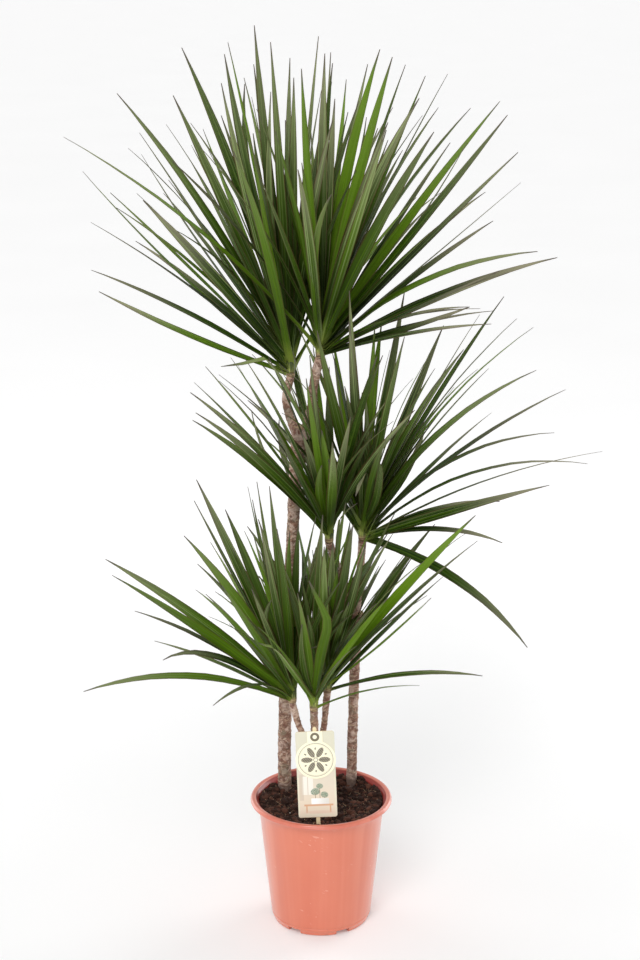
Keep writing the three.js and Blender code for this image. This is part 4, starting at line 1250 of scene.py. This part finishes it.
class PLANT_OT_label(bpy.types.Operator):
    """Makes the plant label: a card, the round disc on it and the wooden stake behind it"""
    bl_idname = "plant.label"
    bl_label = "Label"

    def execute(self, context):
        look = context.scene.label_look
        quarter = TURN / 4
        half, r = CARD_WIDTH / 2, CARD_CORNER
        corners = [(half - r, r, -quarter), (half - r, CARD_HEIGHT - r, 0),
                   (r - half, CARD_HEIGHT - r, quarter), (r - half, r, 2 * quarter)]
        card = [point for x, z, start in corners for point in arc(x, z, r, start, start + quarter, 8)]
        lean = math.asin(NECK_WIDTH / 2 / DISC_RADIUS)
        disc = [(NECK_WIDTH / 2, CARD_HEIGHT), (-NECK_WIDTH / 2, CARD_HEIGHT),
                *arc(0, DISC_HEIGHT, DISC_RADIUS, quarter + lean, 5 * quarter - lean, 72)]
        end, point = STAKE_WIDTH / 2, STAKE_BOTTOM + STAKE_POINT
        stake = [*arc(0, STAKE_TOP - end, end, 0, 2 * quarter, 16), (-end, point), (0, STAKE_BOTTOM),
                 (end, point)]
        for name, outline, front, thickness, bevel, finish, slot, node in (
                ("label_card_print", card, -CARD_THICKNESS, CARD_THICKNESS, 0.0002, card_finish(look),
                 "label_paper", "label_card"),
                ("label_disc_print", disc, -2 * CARD_THICKNESS - SEAT_GAP, CARD_THICKNESS, 0.00015,
                 disc_finish(look), "label_cream", "label_disc"),
                ("label_stake_wood", stake, SEAT_GAP, STAKE_THICKNESS, 0.0003, stake_finish(look),
                 "label_wood", "label_stake")):
            settle(flat_sheet(name, outline, front, thickness, bevel, finish), node)
        return {"FINISHED"}


# ---- Stage ----

class StageLook(bpy.types.PropertyGroup):
    floor: colour("Floor", "Colour of the floor", 232, 232, 232)
    key: number("Main light", "Power of the main soft light", 76.0, 0.0, 500.0)
    left: number("Left light", "Power of the light behind on the left", 22.0, 0.0, 500.0)
    right: number("Right light", "Power of the light behind on the right", 36.0, 0.0, 500.0)
    sky: number("Surround", "Strength of the white surround", 0.5, 0.0, 3.0)


def in_scene(name, data, place):
    """A new object with its data, at a place in the scene."""
    thing = bpy.data.objects.new(name, data)
    bpy.context.scene.collection.objects.link(thing)
    thing.location = place
    return thing


def soft_light(name, place, height, size, power):
    """A soft light that shines on the plant at a height."""
    data = bpy.data.lights.new(name, "AREA")
    data.shape = "RECTANGLE"
    data.size, data.size_y = size
    data.energy = power
    way = Vector((0, 0, height)) - Vector(place)
    in_scene(name, data, place).rotation_euler = way.to_track_quat("-Z", "Y").to_euler()


class PLANT_OT_stage(bpy.types.Operator):
    """Sets up the pale floor, the soft studio lights and the camera"""
    bl_idname = "plant.stage"
    bl_label = "Stage"

    def execute(self, context):
        look = context.scene.stage_look
        scene = context.scene
        faces = [(0, 1 + i, 1 + (i + 1) % FLOOR_SIDES) for i in range(FLOOR_SIDES)]
        points = [(0, 0, 0), *ring_points(FLOOR_RADIUS, 0, FLOOR_SIDES)]
        floor = mesh_object("floor", points, faces)
        floor.data.materials.append(floor_finish(look))
        world = bpy.data.worlds.new("white_surround")
        world.use_nodes = True
        background = world.node_tree.nodes["Background"]
        background.inputs[0].default_value = (1.0, 1.0, 1.0, 1.0)
        sky = Maker(world.node_tree)
        _, _, rise = sky.split(sky.add("ShaderNodeTexCoord"))
        strength = 1.0 - rise.step(0.28, 0.5) * (1.0 - look.sky)
        world.node_tree.links.new(strength.socket, background.inputs[1])
        scene.world = world
        scene.view_settings.view_transform = "Standard"
        soft_light("main_light", (-0.7, -2.9, 3.0), 0.7, (1.6, 1.6), look.key)
        soft_light("side_light_left", (-1.9, 1.6, 1.1), 0.5, (1.4, 3.0), look.left)
        soft_light("side_light_right", (1.9, 1.6, 1.1), 0.5, (1.4, 3.0), look.right)
        data = bpy.data.cameras.new("camera")
        data.lens = CAMERA_LENS
        data.sensor_width = 36.0
        camera = in_scene("camera", data, CAMERA_PLACE)
        camera.rotation_euler = (math.radians(90 - CAMERA_TILT), 0, 0)
        scene.camera = camera
        return {"FINISHED"}


# ---- Panel and run ----

class PLANT_PT_panel(bpy.types.Panel):
    """Sizes, colours and builders of the potted dragon tree"""
    bl_idname = "PLANT_PT_panel"
    bl_label = "Dragon tree"
    bl_space_type = "VIEW_3D"
    bl_region_type = "UI"
    bl_category = "Dragon tree"

    def draw(self, context):
        for name, kind, operator in PARTS:
            box = self.layout.box()
            look = getattr(context.scene, name)
            for key in kind.__annotations__:
                box.prop(look, key)
            box.operator(operator.bl_idname)


PARTS = [
    ("stage_look", StageLook, PLANT_OT_stage),
    ("pot_look", PotLook, PLANT_OT_pot),
    ("soil_look", SoilLook, PLANT_OT_soil),
    ("cane_look", CaneLook, PLANT_OT_canes),
    ("leaf_look", LeafLook, PLANT_OT_leaves),
    ("label_look", LabelLook, PLANT_OT_label),
]


def register():
    for name, kind, operator in PARTS:
        bpy.utils.register_class(kind)
        bpy.utils.register_class(operator)
        setattr(bpy.types.Scene, name, PointerProperty(type=kind))
    bpy.utils.register_class(PLANT_PT_panel)


def unregister():
    bpy.utils.unregister_class(PLANT_PT_panel)
    for name, kind, operator in reversed(PARTS):
        delattr(bpy.types.Scene, name)
        bpy.utils.unregister_class(operator)
        bpy.utils.unregister_class(kind)


def main():
    register()
    bpy.ops.plant.stage()
    bpy.ops.plant.pot()
    bpy.ops.plant.soil()
    bpy.ops.plant.canes()
    bpy.ops.plant.leaves()
    bpy.ops.plant.label()


if __name__ == "__main__":
    main()
